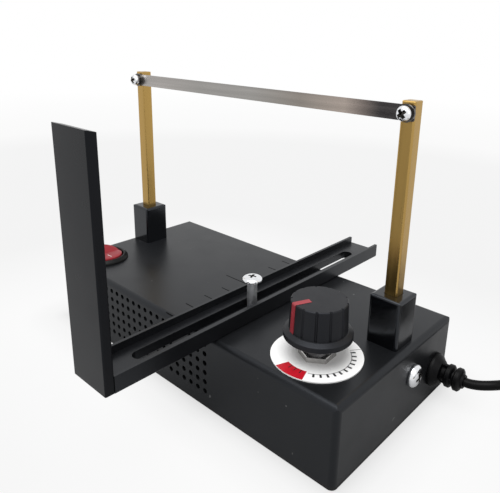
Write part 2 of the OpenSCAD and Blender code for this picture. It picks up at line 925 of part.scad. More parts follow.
module clamp_screw() {
    color("gainsboro")
    translate([rail_x, clamp_y, box_h + clamp_rise])
        rotate(clamp_rest_turn)
            cross_screw(clamp_d, clamp_l, clamp_head_d, clamp_head_h);
}

module clamp_nut() {
    color("silver")
    translate([rail_x, clamp_y, ceiling])
        rotate([180, 0, 0])
            hex_nut(clamp_nut_w, clamp_nut_h, clamp_d + 2 * run_gap);
}

// Heat control
module dial_disc() {
    color("white")
    translate([dial_x, dial_y, box_h])
        washer(dial_d, bushing_d + 2 * seat_gap, dial_t);
}

module pot_body() {
    color("#5a5c60")
    difference() {
        union() {
            translate([dial_x, dial_y, ceiling - pot_h])
                cylinder(d = pot_d, h = pot_h);
            translate([dial_x, dial_y, ceiling - cut])
                cylinder(d = bushing_d, h = bushing_top - ceiling + cut);
            for (step = [-1, 0, 1])
                translate([dial_x - pot_d / 2 - pot_tab_l, dial_y, ceiling - pot_h])
                    translate([0, step * pot_tab_pitch - pot_tab_w / 2, 0])
                        cube([pot_tab_l + pot_d / 4, pot_tab_w, spade_t]);
        }
        translate([dial_x, dial_y, shaft_seat_z - seat_gap])
            cylinder(d = shaft_d + 2 * run_gap, h = bushing_top);
    }
}

module pot_nut() {
    color("gainsboro")
    translate([dial_x, dial_y, dial_z])
        rotate(pot_nut_turn)
            hex_nut(pot_nut_w, pot_nut_h, bushing_d + 2 * run_gap);
}

module pot_shaft() {
    color("silver")
    translate([dial_x, dial_y, shaft_seat_z])
        cylinder(d = shaft_d, h = knob_z + knob_bore_depth - shaft_seat_z);
}

// Line from the knob's top over its rim and down to the skirt, facing the front
module pointer_shape(outer) {
    foot_z = knob_z + skirt_h + skirt_slope;
    translate([-pointer_w / 2, -outer, knob_top - pointer_depth])
        cube([pointer_w, outer - pointer_inner, pointer_depth]);
    translate([-pointer_w / 2, -outer, foot_z])
        cube([pointer_w, outer - pointer_face + pointer_depth, knob_top - foot_z]);
}

module knob() {
    color("#2b2b2d")
    translate([dial_x, dial_y, 0])
        rotate(pointer_turn)
            difference() {
                union() {
                    translate([0, 0, knob_z])
                        rotate_extrude()
                            polygon([
                                [0, 0],
                                [skirt_d / 2, 0],
                                [skirt_d / 2, skirt_h],
                                [grip_d / 2 - 2 * flute_depth, skirt_h + skirt_slope],
                                [0, skirt_h + skirt_slope]
                            ]);
                    translate([0, 0, knob_z + skirt_h])
                        linear_extrude(knob_h - skirt_h)
                            difference() {
                                circle(d = grip_d);
                                for (i = [1:flutes - 1])
                                    rotate(360 * i / flutes)
                                        translate([0, -grip_d / 2 - flute_d / 2 + flute_depth])
                                            circle(d = flute_d, $fn = 24);
                            }
                }
                translate([0, 0, knob_z - cut])
                    cylinder(d = shaft_d + 2 * run_gap, h = knob_bore_depth + cut + seat_gap);
                pointer_shape(skirt_d);
            }
}

module knob_pointer() {
    color("crimson")
    translate([dial_x, dial_y, 0])
        rotate(pointer_turn)
            pointer_shape(pointer_face);
}

// Switch
module switch_body() {
    color("#18181a")
    translate([switch_x, switch_y, 0])
        difference() {
            union() {
                translate([0, 0, box_h])
                    cylinder(d = bezel_d, h = bezel_h);
                translate([0, 0, box_h - barrel_depth])
                    cylinder(d = barrel_d, h = barrel_depth + bezel_h);
            }
            translate([0, 0, box_h - well_depth])
                cylinder(d = well_d, h = well_depth + bezel_h + cut);
            translate([0, barrel_d, pivot_z])
                rotate([90, 0, 0])
                    cylinder(d = pivot_d + 2 * run_gap, h = 2 * barrel_d);
        }
}

module switch_rocker() {
    color("firebrick")
    translate([switch_x, switch_y, pivot_z])
        rotate([0, rocker_tilt, 0]) {
            intersection() {
                translate([0, 0, -rocker_low])
                    cylinder(r = rocker_half, h = rocker_low + rocker_tip_h);
                rotate([90, 0, 0])
                    linear_extrude(2 * well_d, center = true)
                        polygon([
                            [-rocker_half - cut, -rocker_low], [rocker_half + cut, -rocker_low],
                            [rocker_half + cut, rocker_tip_h + rocker_dip * cut / rocker_half],
                            [0, rocker_tip_h - rocker_dip],
                            [-rocker_half - cut, rocker_tip_h + rocker_dip * cut / rocker_half]
                        ]);
            }
            rotate([90, 0, 0])
                cylinder(d = pivot_d, h = barrel_d - 2 * seat_gap, center = true);
        }
}

module switch_terminals() {
    color("goldenrod")
    for (s = [-1, 1])
        translate([switch_x + s * barrel_d / 4, switch_y, box_h - barrel_depth - spade_l / 2])
            cube([spade_t, spade_w, spade_l], center = true);
}

// Transformer and control board
module transformer_core() {
    color("#6d6f72")
    difference() {
        translate([core_x - core_l / 2, core_y - core_w / 2, core_z])
            cube([core_l, core_w, core_h]);
        for (s = [-1, 1])
            translate([core_x + s * (core_leg + core_window_w / 2), core_y, core_z - cut])
                linear_extrude(core_h + 2 * cut)
                    square([core_window_w, core_w - 2 * core_leg], center = true);
        at_corners(core_x, core_y, core_l, core_w, core_hole_inset)
            translate([0, 0, core_z - cut])
                cylinder(d = inner_screw_d + 2 * seat_gap, h = core_h + 2 * cut);
    }
}

module transformer_winding() {
    color("#b5652b")
    difference() {
        translate([core_x - winding_l / 2, core_y - winding_w / 2, core_mid_z - winding_h / 2])
            cube([winding_l, winding_w, winding_h]);
        translate([core_x - core_leg - winding_gap, core_y - core_w / 2, core_z - winding_gap])
            cube([2 * (core_leg + winding_gap), core_w, core_h + 2 * winding_gap]);
    }
}

module transformer_spacers() {
    color("silver")
    at_corners(core_x, core_y, core_l, core_w, core_hole_inset)
        translate([0, 0, base_t])
            washer(boss_d, inner_screw_d + 2 * seat_gap, spacer_h);
}

module transformer_screws() {
    color("gainsboro")
    at_corners(core_x, core_y, core_l, core_w, core_hole_inset)
        translate([0, 0, core_z + core_h])
            cross_screw(inner_screw_d, core_h + spacer_h + base_t - seat_gap, inner_head_d, inner_head_h);
}

module control_board() {
    color("#2f6b3c")
    difference() {
        translate([board_x - board_l / 2, board_y - board_w / 2, board_z])
            cube([board_l, board_w, board_t]);
        at_corners(board_x, board_y, board_l, board_w, board_hole_inset)
            translate([0, 0, board_z - cut])
                cylinder(d = inner_screw_d + 2 * seat_gap, h = board_t + 2 * cut);
    }
}

module board_standoffs() {
    color("silver")
    at_corners(board_x, board_y, board_l, board_w, board_hole_inset)
        difference() {
            union() {
                translate([0, 0, base_t])
                    cylinder(d = boss_d, h = standoff_h);
                translate([0, 0, seat_gap])
                    cylinder(d = inner_screw_d, h = base_t);
            }
            translate([0, 0, board_z - board_screw_l + board_t - seat_gap])
                cylinder(d = board_screw_d + 2 * run_gap, h = standoff_h + cut);
        }
}

module board_screws() {
    color("gainsboro")
    at_corners(board_x, board_y, board_l, board_w, board_hole_inset)
        translate([0, 0, board_top])
            cross_screw(board_screw_d, board_screw_l, inner_head_d, inner_head_h);
}

module board_capacitor() {
    color("#2b3d7a")
    translate([capacitor_at[0], capacitor_at[1], board_top])
        cylinder(d = capacitor_d, h = capacitor_h);
}

module board_heatsink() {
    color("#b4b7ba")
    translate([sink_at[0] - sink_size[0] / 2, sink_at[1] - sink_size[1] / 2, board_top])
        difference() {
            cube(sink_size);
            for (i = [0:sink_fins - 2])
                translate([
                    sink_size[0] * (i + 1) / sink_fins - sink_fin_gap / 2,
                    sink_fin_gap,
                    -cut
                ])
                    cube([sink_fin_gap, sink_size[1], sink_size[2] + 2 * cut]);
        }
}

module power_transistor() {
    color("#222224")
    translate([sink_at[0], sink_at[1] - sink_size[1] / 2 - transistor_size[1] / 2, board_top])
        translate([-transistor_size[0] / 2, -transistor_size[1] / 2, 0])
            cube(transistor_size);
}

module board_terminals() {
    color("#3f8f4f")
    translate([terminal_at[0] - terminal_size[0] / 2, terminal_at[1] - terminal_size[1] / 2, board_top])
        difference() {
            cube(terminal_size);
            for (i = [0:terminal_ways - 1])
                translate([terminal_size[0] * (i + 0.5) / terminal_ways, -cut, terminal_size[2] / 3])
                    rotate([-90, 0, 0])
                        cylinder(d = terminal_mouth_d, h = terminal_size[1] / 2);
        }
}

// Two wires from the gland, along the back of the box, to the switch
module mains_wires() {
    inside_x = right_wall - gland_inside;
    for (k = [0, 1]) {
        step = k * wire_step;
        y0 = gland_y + (k - 0.5) * wire_step;
        spade_x = switch_x + (1 - 2 * k) * barrel_d / 4 + spade_t / 2 + wire_d / 2 + seat_gap;
        run_x = wire_x - step;
        corner = wire_corner - step * 0.7;
        spade_mid_z = box_h - barrel_depth - spade_l / 2;
        route = [
            [inside_x, y0, gland_z],
            [inside_x - wire_corner, y0, gland_z],
            [inside_x - wire_turn, wire_y + step, gland_z - wire_rise],
            [inside_x - 2 * wire_turn, wire_y + step, (gland_z + wire_z) / 2],
            [right / 2, wire_y + step, wire_z],
            [left / 4, wire_y + step, wire_z],
            [wire_x + wire_turn, wire_y + step, wire_z],
            [wire_x + corner, wire_y - corner, wire_z],
            [run_x, wire_y - wire_turn, wire_z],
            [run_x, switch_y + 2 * wire_turn, wire_z],
            [(run_x + spade_x) / 2, switch_y + wire_turn, wire_z + wire_rise],
            [spade_x, switch_y + spade_w / 2 + wire_rise, spade_mid_z],
            [spade_x, switch_y, spade_mid_z]
        ];
        color(k == 0 ? "saddlebrown" : "steelblue")
        tube(route, wire_d, lead_sides);
    }
}

// Cord
module cord_gland() {
    rib_r = gland_rib_d / 2;
    neck_r = rib_r - gland_rib_depth;
    flange_r = gland_flange_d / 2;
    color("#19191b")
    translate([right, gland_y, gland_z])
        rotate([0, 90, 0])
            rotate_extrude()
                difference() {
                    union() {
                        translate([0, -cover_t - gland_inside])
                            square([gland_thread_d / 2, cover_t + gland_inside + cut]);
                        polygon([
                            [0, 0],
                            [flange_r, 0],
                            [flange_r, gland_rim],
                            [flange_r - gland_rim, gland_collar],
                            [rib_r, gland_collar + gland_rim],
                            [0, gland_collar + gland_rim]
                        ]);
                        square([neck_r, gland_out]);
                        for (at = [gland_out - 2 * gland_rib_pitch, gland_out - gland_rib_pitch])
                            translate([0, at])
                                polygon([
                                    [0, 0],
                                    [neck_r, 0],
                                    [rib_r, gland_rib_slope],
                                    [rib_r, gland_rib_t - gland_rib_slope],
                                    [neck_r, gland_rib_t],
                                    [0, gland_rib_t]
                                ]);
                    }
                    translate([-cut, -2 * box_h])
                        square([cut + gland_bore_d / 2, 4 * box_h]);
                }
}

module gland_nut() {
    color("#19191b")
    translate([right_wall, gland_y, gland_z])
        rotate([0, -90, 0])
            hex_nut(gland_nut_w, gland_nut_h, gland_thread_d + 2 * run_gap);
}

module cord_lead() {
    color("#161617")
    tube(lead_route, cord_d, lead_sides);
}

module cord_coil() {
    color("#161617")
    tube(coil_route, cord_d, coil_sides);
}

module cord_tail() {
    color("#161617")
    tube(tail_route, cord_d, lead_sides);
}

// Band around the coil's turns, at the coil's back
module cord_tie() {
    bundle_in = coil_inner - cord_d / 2 - tie_gap;
    bundle_out = coil_outer + cord_d / 2 + tie_gap;
    bundle_top = coil_top + cord_d / 2 + tie_gap;
    color("#3b3b3d")
    translate([coil_middle[0], coil_middle[1], 0])
        rotate([90, 0, 90])
            translate([0, 0, -tie_w / 2])
                linear_extrude(tie_w)
                    difference() {
                        translate([bundle_in - tie_t, 0])
                            square([bundle_out - bundle_in + 2 * tie_t, bundle_top + tie_t]);
                        translate([bundle_in, tie_t])
                            square([bundle_out - bundle_in, bundle_top - tie_t]);
                    }
}

module plug_body() {
    sleeve_r = cord_d / 2 + plug_sleeve_wall;
    root_r = sleeve_r + plug_sleeve_wall;
    color("#19191b")
    translate([plug_x, plug_back - plug_sleeve_l, 0])
        difference() {
            union() {
                translate([0, -plug_body_l / 2, 0])
                    soft_block(plug_body_w, plug_body_l, plug_body_h, plug_edge_r);
                translate([0, 0, plug_z])
                    rotate([-90, 0, 0])
                        translate([0, 0, -cut])
                            cylinder(r1 = root_r, r2 = sleeve_r, h = plug_sleeve_l + cut);
            }
            for (s = [-1, 1])
                translate([s * plug_pin_spread / 2, -plug_body_l, plug_z])
                    cube([plug_pin_t, 2 * plug_pin_root, plug_pin_w], center = true);
        }
}

module plug_pins() {
    color("#c9b26a")
    for (s = [-1, 1])
        translate([
            plug_x + s * plug_pin_spread / 2 - plug_pin_t / 2,
            plug_back - plug_sleeve_l - plug_body_l - plug_pin_l,
            plug_z - plug_pin_w / 2
        ])
            cube([plug_pin_t, plug_pin_l + plug_pin_root, plug_pin_w]);
}

cover();
base_plate();
cover_screws();
insulator_left();
insulator_right();
post_left();
post_right();
blade();
blade_screws();
spring_washers();
flat_washers();
insulating_washers();
terminal_lugs();
post_nuts();
secondary_lead_left();
secondary_lead_right();
fence_rail();
fence_upright();
clamp_screw();
clamp_nut();
dial_disc();
pot_body();
pot_nut();
pot_shaft();
knob();
knob_pointer();
switch_body();
switch_rocker();
switch_terminals();
transformer_core();
transformer_winding();
transformer_spacers();
transformer_screws();
control_board();
board_standoffs();
board_screws();
board_capacitor();
board_heatsink();
power_transistor();
board_terminals();
mains_wires();
cord_gland();
gland_nut();
cord_lead();
cord_coil();
cord_tail();
cord_tie();
plug_body();
plug_pins();
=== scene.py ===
# Bench-top hot ribbon cutter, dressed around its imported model, in metres.
import math

import bmesh
import bpy
from mathutils import Matrix, Vector


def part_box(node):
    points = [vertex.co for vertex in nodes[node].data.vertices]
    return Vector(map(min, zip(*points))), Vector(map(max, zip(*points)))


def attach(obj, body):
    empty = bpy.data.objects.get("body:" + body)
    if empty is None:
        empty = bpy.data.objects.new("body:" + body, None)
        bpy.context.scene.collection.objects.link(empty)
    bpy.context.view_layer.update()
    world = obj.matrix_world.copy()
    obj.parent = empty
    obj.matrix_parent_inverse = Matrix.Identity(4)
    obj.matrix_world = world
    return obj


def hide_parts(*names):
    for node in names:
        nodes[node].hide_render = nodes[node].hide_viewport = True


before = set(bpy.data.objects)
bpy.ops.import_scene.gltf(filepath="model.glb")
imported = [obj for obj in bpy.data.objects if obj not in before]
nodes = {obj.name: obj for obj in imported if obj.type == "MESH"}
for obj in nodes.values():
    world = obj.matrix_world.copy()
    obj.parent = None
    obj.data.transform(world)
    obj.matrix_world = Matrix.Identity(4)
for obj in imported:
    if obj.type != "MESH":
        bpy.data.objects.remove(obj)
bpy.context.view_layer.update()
mm = 0.001
print("frame loaded:", len(nodes), "nodes")


def middleOf(node):
    low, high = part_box(node)
    return (low + high) / 2


def linked(name, data):
    thing = bpy.data.objects.new(name, data)
    bpy.context.scene.collection.objects.link(thing)
    return thing


# Camera at the photograph's viewpoint, in that picture's pixels and in degrees
view = {
    "focal": 542.4, "width": 500, "height": 493,
    "azimuth": 41.70, "elevation": 16.94, "roll": 1.33,
    "target": (-0.01444, 0.03357, 0.060), "distance": 0.26301,
    "middle": (267.8, 197.2),
    "sensor": 36, "clip": (0.01, 50),
}


def makeCamera(v):
    azimuth, elevation, roll = (math.radians(v[k]) for k in ("azimuth", "elevation", "roll"))
    back = Vector((
        math.sin(azimuth) * math.cos(elevation),
        -math.cos(azimuth) * math.cos(elevation),
        math.sin(elevation),
    ))
    right = Vector((math.cos(azimuth), math.sin(azimuth), 0))
    up = back.cross(right)
    tiltedRight = right * math.cos(roll) + up * math.sin(roll)
    tiltedUp = up * math.cos(roll) - right * math.sin(roll)
    data = bpy.data.cameras.new("photoCamera")
    data.sensor_width = v["sensor"]
    data.lens = v["focal"] / v["width"] * v["sensor"]
    data.shift_x = (v["width"] / 2 - v["middle"][0]) / v["width"]
    data.shift_y = (v["middle"][1] - v["height"] / 2) / v["width"]
    data.clip_start, data.clip_end = v["clip"]
    camera = linked("photoCamera", data)
    turn = Matrix((tiltedRight, tiltedUp, back)).transposed().to_4x4()
    camera.matrix_world = Matrix.Translation(Vector(v["target"]) + back * v["distance"]) @ turn
    bpy.context.scene.camera = camera


makeCamera(view)
print("camera placed")


# Finishes: one Principled shader each, with grain, streaks and specks from noise in the part's own frame
noiseSpan = (0.3, 0.7)
bumpStrength = 0.6


def setInputs(node, values):
    for socket, value in values.items():
        node.inputs[socket].default_value = value


def noiseAt(tree, scale, stretch=(1, 1, 1), detail=4, roughness=0.55):
    place = tree.nodes.new("ShaderNodeTexCoord")
    mapping = tree.nodes.new("ShaderNodeMapping")
    noise = tree.nodes.new("ShaderNodeTexNoise")
    setInputs(mapping, {"Scale": stretch})
    setInputs(noise, {"Scale": scale, "Detail": detail, "Roughness": roughness})
    tree.links.new(place.outputs["Object"], mapping.inputs["Vector"])
    tree.links.new(mapping.outputs["Vector"], noise.inputs["Vector"])
    return noise.outputs["Fac"]


def ramp(tree, value, stops):
    node = tree.nodes.new("ShaderNodeValToRGB")
    points = node.color_ramp.elements
    while len(points) < len(stops):
        points.new(0.5)
    for point, (at, colour) in zip(points, stops):
        point.position = at
        point.color = (*colour, 1)
    tree.links.new(value, node.inputs["Fac"])
    return node.outputs["Color"]


def mapRange(tree, value, source=(0, 1), target=(0, 1)):
    node = tree.nodes.new("ShaderNodeMapRange")
    setInputs(node, dict(zip(("From Min", "From Max", "To Min", "To Max"), (*source, *target))))
    tree.links.new(value, node.inputs["Value"])
    return node.outputs["Result"]


def mixColours(tree, under, over, factor, blend="MIX"):
    mix = tree.nodes.new("ShaderNodeMix")
    mix.data_type = "RGBA"
    mix.blend_type = blend
    for socket, value in (("A", under), ("B", over), ("Factor", factor)):
        if isinstance(value, bpy.types.NodeSocket):
            tree.links.new(value, mix.inputs[socket])
        else:
            mix.inputs[socket].default_value = value
    return mix.outputs["Result"]


def shade(colour, factor):
    return tuple(min(1, c * factor) for c in colour)


def alongLength(tree, stops):
    place = tree.nodes.new("ShaderNodeTexCoord")
    split = tree.nodes.new("ShaderNodeSeparateXYZ")
    tree.links.new(place.outputs["Object"], split.inputs["Vector"])
    first, last = stops[0][0], stops[-1][0]
    share = mapRange(tree, split.outputs["X"], (first, last))
    return ramp(tree, share, [((x - first) / (last - first), colour) for x, colour in stops])


def finish(name, colour, rough, metal=0, specular=0.5, vary=0.12, patch=40, stretch=(1, 1, 1),
           grain=1500, grainDepth=0.00002, specks=None, fade=None, tint=(1, 1, 1)):
    material = bpy.data.materials.new(name)
    material.use_nodes = True
    tree = material.node_tree
    shader = tree.nodes["Principled BSDF"]
    setInputs(shader, {"Metallic": metal, "Specular IOR Level": specular, "Specular Tint": (*tint, 1)})
    cloud = noiseAt(tree, patch, stretch)
    low, high = noiseSpan
    paint = ramp(tree, cloud, [(low, shade(colour, 1 - vary)), (high, shade(colour, 1 + vary))])
    if specks:
        dots = noiseAt(tree, specks["scale"], detail=1)
        mask = ramp(tree, dots, [(specks["from"], (0, 0, 0)), (specks["to"], (1, 1, 1))])
        paint = mixColours(tree, paint, (*specks["colour"], 1), mask)
    if fade:
        paint = mixColours(tree, paint, alongLength(tree, fade), 1, "MULTIPLY")
    tree.links.new(paint, shader.inputs["Base Color"])
    tree.links.new(mapRange(tree, cloud, noiseSpan, rough), shader.inputs["Roughness"])
    bump = tree.nodes.new("ShaderNodeBump")
    setInputs(bump, {"Strength": bumpStrength, "Distance": grainDepth})
    tree.links.new(noiseAt(tree, grain, stretch, detail=3), bump.inputs["Height"])
    tree.links.new(bump.outputs["Normal"], shader.inputs["Normal"])
    return material


dust = {"scale": 420, "from": 0.79, "to": 0.82, "colour": (0.10, 0.10, 0.10)}
alongX, alongZ = (0.02, 1, 1), (1, 1, 0.03)
cool = (0.84, 0.90, 1)
# Ribbon tone along its length: bright at the left end and dark at the right end is a painted reflection,
# the warm bands between are heat tint
ribbonTintAndPaintedReflection = [(-0.073, (0.84, 0.82, 0.81)), (-0.056, (0.82, 0.80, 0.79)), (-0.028, (0.66, 0.66, 0.65)),
          (0.002, (0.71, 0.71, 0.70)), (0.0275, (0.60, 0.56, 0.52)), (0.047, (0.92, 0.81, 0.74)),
          (0.054, (0.56, 0.49, 0.46)), (0.061, (0.22, 0.21, 0.22))]
finishes = {
    "cover_paint": finish("satinBlackPaint", (0.0066, 0.0070, 0.0078), (0.29, 0.37), specular=0.27,
                          vary=0.10, patch=60, grain=2600, grainDepth=0.000012, specks=dust, tint=cool),
    "base_paint": finish("basePaint", (0.010, 0.010, 0.011), (0.42, 0.52), specular=0.25, grain=2200),
    "fence_paint": finish("fenceBlack", (0.0042, 0.0043, 0.0052), (0.26, 0.34), specular=0.15,
                          vary=0.08, patch=80, grain=2400, grainDepth=0.000008, tint=cool),
    "rail_paint": finish("railBlack", (0.0046, 0.0048, 0.0056), (0.30, 0.38), specular=0.36,
                         vary=0.08, patch=80, grain=2400, grainDepth=0.000008, tint=cool),
    "bright_steel": finish("zincPlate", (0.80, 0.81, 0.83), (0.08, 0.16), metal=1, vary=0.05, patch=900,
                           grain=3000, grainDepth=0.000006),
    "washer_steel": finish("darkWasher", (0.13, 0.125, 0.12), (0.12, 0.22), metal=1, vary=0.2, patch=900,
                           grain=3000, grainDepth=0.000008),
    "nut_steel": finish("nutSteel", (0.46, 0.45, 0.44), (0.16, 0.26), metal=1, vary=0.15, patch=700,
                        grain=3000, grainDepth=0.000008),
    "shank_steel": finish("shankSteel", (0.58, 0.59, 0.61), (0.42, 0.52), metal=1, vary=0.06, patch=900,
                          grain=3000, grainDepth=0.000008),
    # Painted shade for the dark inside of the screws' cross recesses
    "recess_painted_shade": finish("recessPaintedShade", (0.09, 0.085, 0.078), (0.40, 0.55), metal=1, vary=0.2, patch=1200),
    "ribbon_steel": finish("rolledRibbon", (0.46, 0.445, 0.43), (0.22, 0.34), metal=1, vary=0.16, patch=420,
                           stretch=alongX, grain=5000, grainDepth=0.000006, fade=ribbonTintAndPaintedReflection),
    "post_brass": finish("drawnBrass", (0.43, 0.275, 0.086), (0.26, 0.34), metal=1, vary=0.05, patch=330,
                         stretch=alongZ, grain=4200, grainDepth=0.0000015),
    "insulator_plastic": finish("insulatorBlack", (0.0020, 0.0021, 0.0026), (0.13, 0.20), specular=0.46,
                                vary=0.1, patch=120, grain=1600, grainDepth=0.000012, tint=cool),
    "knob_plastic": finish("knobBlack", (0.0072, 0.0072, 0.0084), (0.40, 0.50), specular=0.24, vary=0.08,
                           patch=160, grain=3200, grainDepth=0.000016, tint=cool),
    "pointer_red": finish("pointerRed", (0.29, 0.026, 0.036), (0.35, 0.45), specular=0.4,
                          vary=0.08, patch=500, grain=3200, grainDepth=0.000006),
    "dial_white": finish("dialWhite", (0.90, 0.90, 0.895), (0.26, 0.34), specular=0.45,
                         vary=0.015, patch=90, grain=900, grainDepth=0.000006),
    "switch_black": finish("switchBlack", (0.0046, 0.0050, 0.0050), (0.34, 0.44), specular=0.13, vary=0.08,
                           patch=150, grain=2600, grainDepth=0.000012),
    "rocker_red": finish("rockerRed", (0.24, 0.017, 0.024), (0.30, 0.38), specular=0.15,
                         vary=0.08, patch=140, grain=1400, grainDepth=0.000010),
    "cord_black": finish("cordBlack", (0.0022, 0.0022, 0.0024), (0.30, 0.42), specular=0.09,
                         vary=0.1, patch=150, grain=1800, grainDepth=0.00002),
    "plug_black": finish("plugBlack", (0.0020, 0.0020, 0.0024), (0.30, 0.42), specular=0.10,
                         vary=0.1, patch=130, grain=2200, grainDepth=0.00002),
    "tie_grey": finish("tieBand", (0.05, 0.05, 0.054), (0.6, 0.75), specular=0.25, vary=0.2, patch=700,
                       grain=2600, grainDepth=0.00006),
    "pin_brass": finish("pinBrass", (0.66, 0.52, 0.25), (0.16, 0.26), metal=1, vary=0.08, patch=400,
                        stretch=(1, 0.05, 1), grain=3600, grainDepth=0.000006),
    "washer_fibre": finish("washerFibre", (0.60, 0.54, 0.42), (0.7, 0.85), specular=0.2,
                           vary=0.15, patch=600),
    "core_steel": finish("coreLaminations", (0.24, 0.24, 0.25), (0.38, 0.5), metal=1, vary=0.35, patch=1400,
                         stretch=(0.02, 0.02, 1), grain=2400, grainDepth=0.00008),
    "copper": finish("enamelledCopper", (0.50, 0.19, 0.07), (0.24, 0.36), metal=1, vary=0.25, patch=1300,
                     stretch=(0.05, 0.05, 1), grain=1900, grainDepth=0.0001),
    "board_green": finish("boardGreen", (0.022, 0.13, 0.045), (0.28, 0.38), vary=0.18, patch=240),
    "terminal_green": finish("terminalGreen", (0.05, 0.27, 0.09), (0.4, 0.5), vary=0.08, patch=150),
    "capacitor_blue": finish("capacitorSleeve", (0.025, 0.04, 0.17), (0.24, 0.32), vary=0.1, patch=200),
    "sink_aluminium": finish("extrudedAluminium", (0.62, 0.63, 0.64), (0.3, 0.42), metal=1,
                             vary=0.1, patch=500, stretch=alongZ),
    "wire_cover": finish("wireCover", (0.12, 0.055, 0.025), (0.4, 0.5), vary=0.12, patch=260),
    "print_red": finish("printedRed", (0.46, 0.007, 0.018), (0.30, 0.38), specular=0.2,
                        vary=0.05, patch=300),
    "print_black": finish("printedBlack", (0.012, 0.012, 0.013), (0.45, 0.55), specular=0.3,
                          vary=0.1, patch=400),
    "mark_dark": finish("scaleLine", (0.0015, 0.0015, 0.0016), (0.7, 0.8), specular=0.05,
                        vary=0.1, patch=400),
    "print_grey": finish("printedGrey", (0.34, 0.34, 0.34), (0.4, 0.5), specular=0.3, vary=0.06, patch=400),
    "mark_white": finish("markWhite", (0.66, 0.64, 0.63), (0.4, 0.5), specular=0.4, vary=0.04, patch=400),
}

slotNodes = {
    "cover_paint": ["cover"],
    "base_paint": ["base_plate"],
    "fence_paint": ["fence_upright"],
    "rail_paint": ["fence_rail"],
    "bright_steel": ["cover_screws", "blade_screws", "post_nuts", "clamp_screw", "clamp_nut", "pot_nut",
                     "pot_shaft", "transformer_spacers", "transformer_screws", "board_standoffs",
                     "board_screws"],
    "washer_steel": ["spring_washers", "flat_washers"],
    "ribbon_steel": ["blade"],
    "post_brass": ["post_left", "post_right"],
    "insulator_plastic": ["insulator_left", "insulator_right"],
    "knob_plastic": ["knob"],
    "pointer_red": ["knob_pointer"],
    "dial_white": ["dial_disc"],
    "switch_black": ["switch_body", "power_transistor"],
    "rocker_red": ["switch_rocker"],
    "cord_black": ["cord_lead", "cord_coil", "cord_tail"],
    "plug_black": ["plug_body", "cord_gland", "gland_nut"],
    "tie_grey": ["cord_tie"],
    "pin_brass": ["plug_pins", "switch_terminals", "terminal_lugs"],
    "washer_fibre": ["insulating_washers"],
    "core_steel": ["transformer_core", "pot_body"],
    "copper": ["transformer_winding", "secondary_lead_left", "secondary_lead_right"],
    "board_green": ["control_board"],
    "terminal_green": ["board_terminals"],
    "capacitor_blue": ["board_capacitor"],
    "sink_aluminium": ["board_heatsink"],
    "wire_cover": ["mains_wires"],
}
for slotName, names in slotNodes.items():
    for name in names:
        for materialSlot in nodes[name].material_slots:
            materialSlot.material = finishes[slotName]
print("finishes set on", sum(len(names) for names in slotNodes.values()), "nodes")

softEdge = {"width": 0.00045, "segments": 3, "angle": 35}
for name in ("fence_rail", "fence_upright"):
    bevel = nodes[name].modifiers.new("softEdge", "BEVEL")
    bevel.width = softEdge["width"]
    bevel.segments = softEdge["segments"]
    bevel.limit_method = "ANGLE"
    bevel.angle_limit = math.radians(softEdge["angle"])
    bevel.harden_normals = True


# Mesh helpers
pieceWeld, cutterWeld = 1e-7, 1e-8


def meshOf(name, verts, faces, weld):
    mesh = bpy.data.meshes.new(name)
    mesh.from_pydata([tuple(v) for v in verts], [], faces)
    shape = bmesh.new()
    shape.from_mesh(mesh)
    bmesh.ops.remove_doubles(shape, verts=shape.verts, dist=weld)
    bmesh.ops.recalc_face_normals(shape, faces=shape.faces)
    shape.to_mesh(mesh)
    shape.free()
    return mesh


def addPiece(name, verts, faces, finishName, body, slotName=None, sharp=40):
    mesh = meshOf(name, verts, faces, pieceWeld)
    mesh.shade_smooth()
    mesh.set_sharp_from_angle(angle=math.radians(sharp))
    mesh.materials.append(finishes[finishName])
    piece = linked(name, mesh)
    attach(piece, body)
    return piece


def around(steps):
    return [2 * math.pi * k / steps for k in range(steps)]


def spin(profile, steps, shape=None, place=Matrix(), lift=None):
    verts, faces, rings = [], [], []
    for radius, height in profile:
        start = len(verts)
        for angle in (around(steps) if radius else [0]):
            r = shape(angle, radius, height) if shape and radius else radius
            x, y = r * math.cos(angle), r * math.sin(angle)
            verts.append(place @ Vector((x, y, lift(x, height) if lift else height)))
        rings.append(range(start, len(verts)))
    for low, high in zip(rings, rings[1:]):
        for k in range(steps):
            n = (k + 1) % steps
            corners = [low[k % len(low)], low[n % len(low)], high[n % len(high)], high[k % len(high)]]
            face = list(dict.fromkeys(corners))
            if len(face) > 2:
                faces.append(face)
    return verts, faces


def plate(outline, low, high):
    return loft([[(x, y, z) for x, y in outline] for z in (low, high)])


def gather(parts):
    verts, faces = [], []
    for partVerts, partFaces in parts:
        faces += [[len(verts) + k for k in face] for face in partFaces]
        verts += partVerts
    return verts, faces


def loft(rings):
    count = len(rings[0])
    verts = [v for ring in rings for v in ring]
    faces = [list(range(count))[::-1], list(range(len(verts) - count, len(verts)))]
    for i in range(len(rings) - 1):
        for k in range(count):
            n = (k + 1) % count
            faces.append([i * count + k, i * count + n, (i + 1) * count + n, (i + 1) * count + k])
    return verts, faces


# The last ring joins the first, so the two end faces go
def hoop(rings):
    verts, faces = loft(rings + rings[:1])
    return verts, faces[2:]


def roundCorner(centre, radius, start, end, steps):
    points = []
    for k in range(steps + 1):
        angle = math.radians(start + (end - start) * k / steps)
        points.append((centre[0] + radius * math.cos(angle), centre[1] + radius * math.sin(angle)))
    return points


def onAxis(node, turn=0):
    centre = middleOf(node)
    return Matrix.Translation((centre.x, centre.y, 0)) @ Matrix.Rotation(math.radians(turn), 4, "Z")


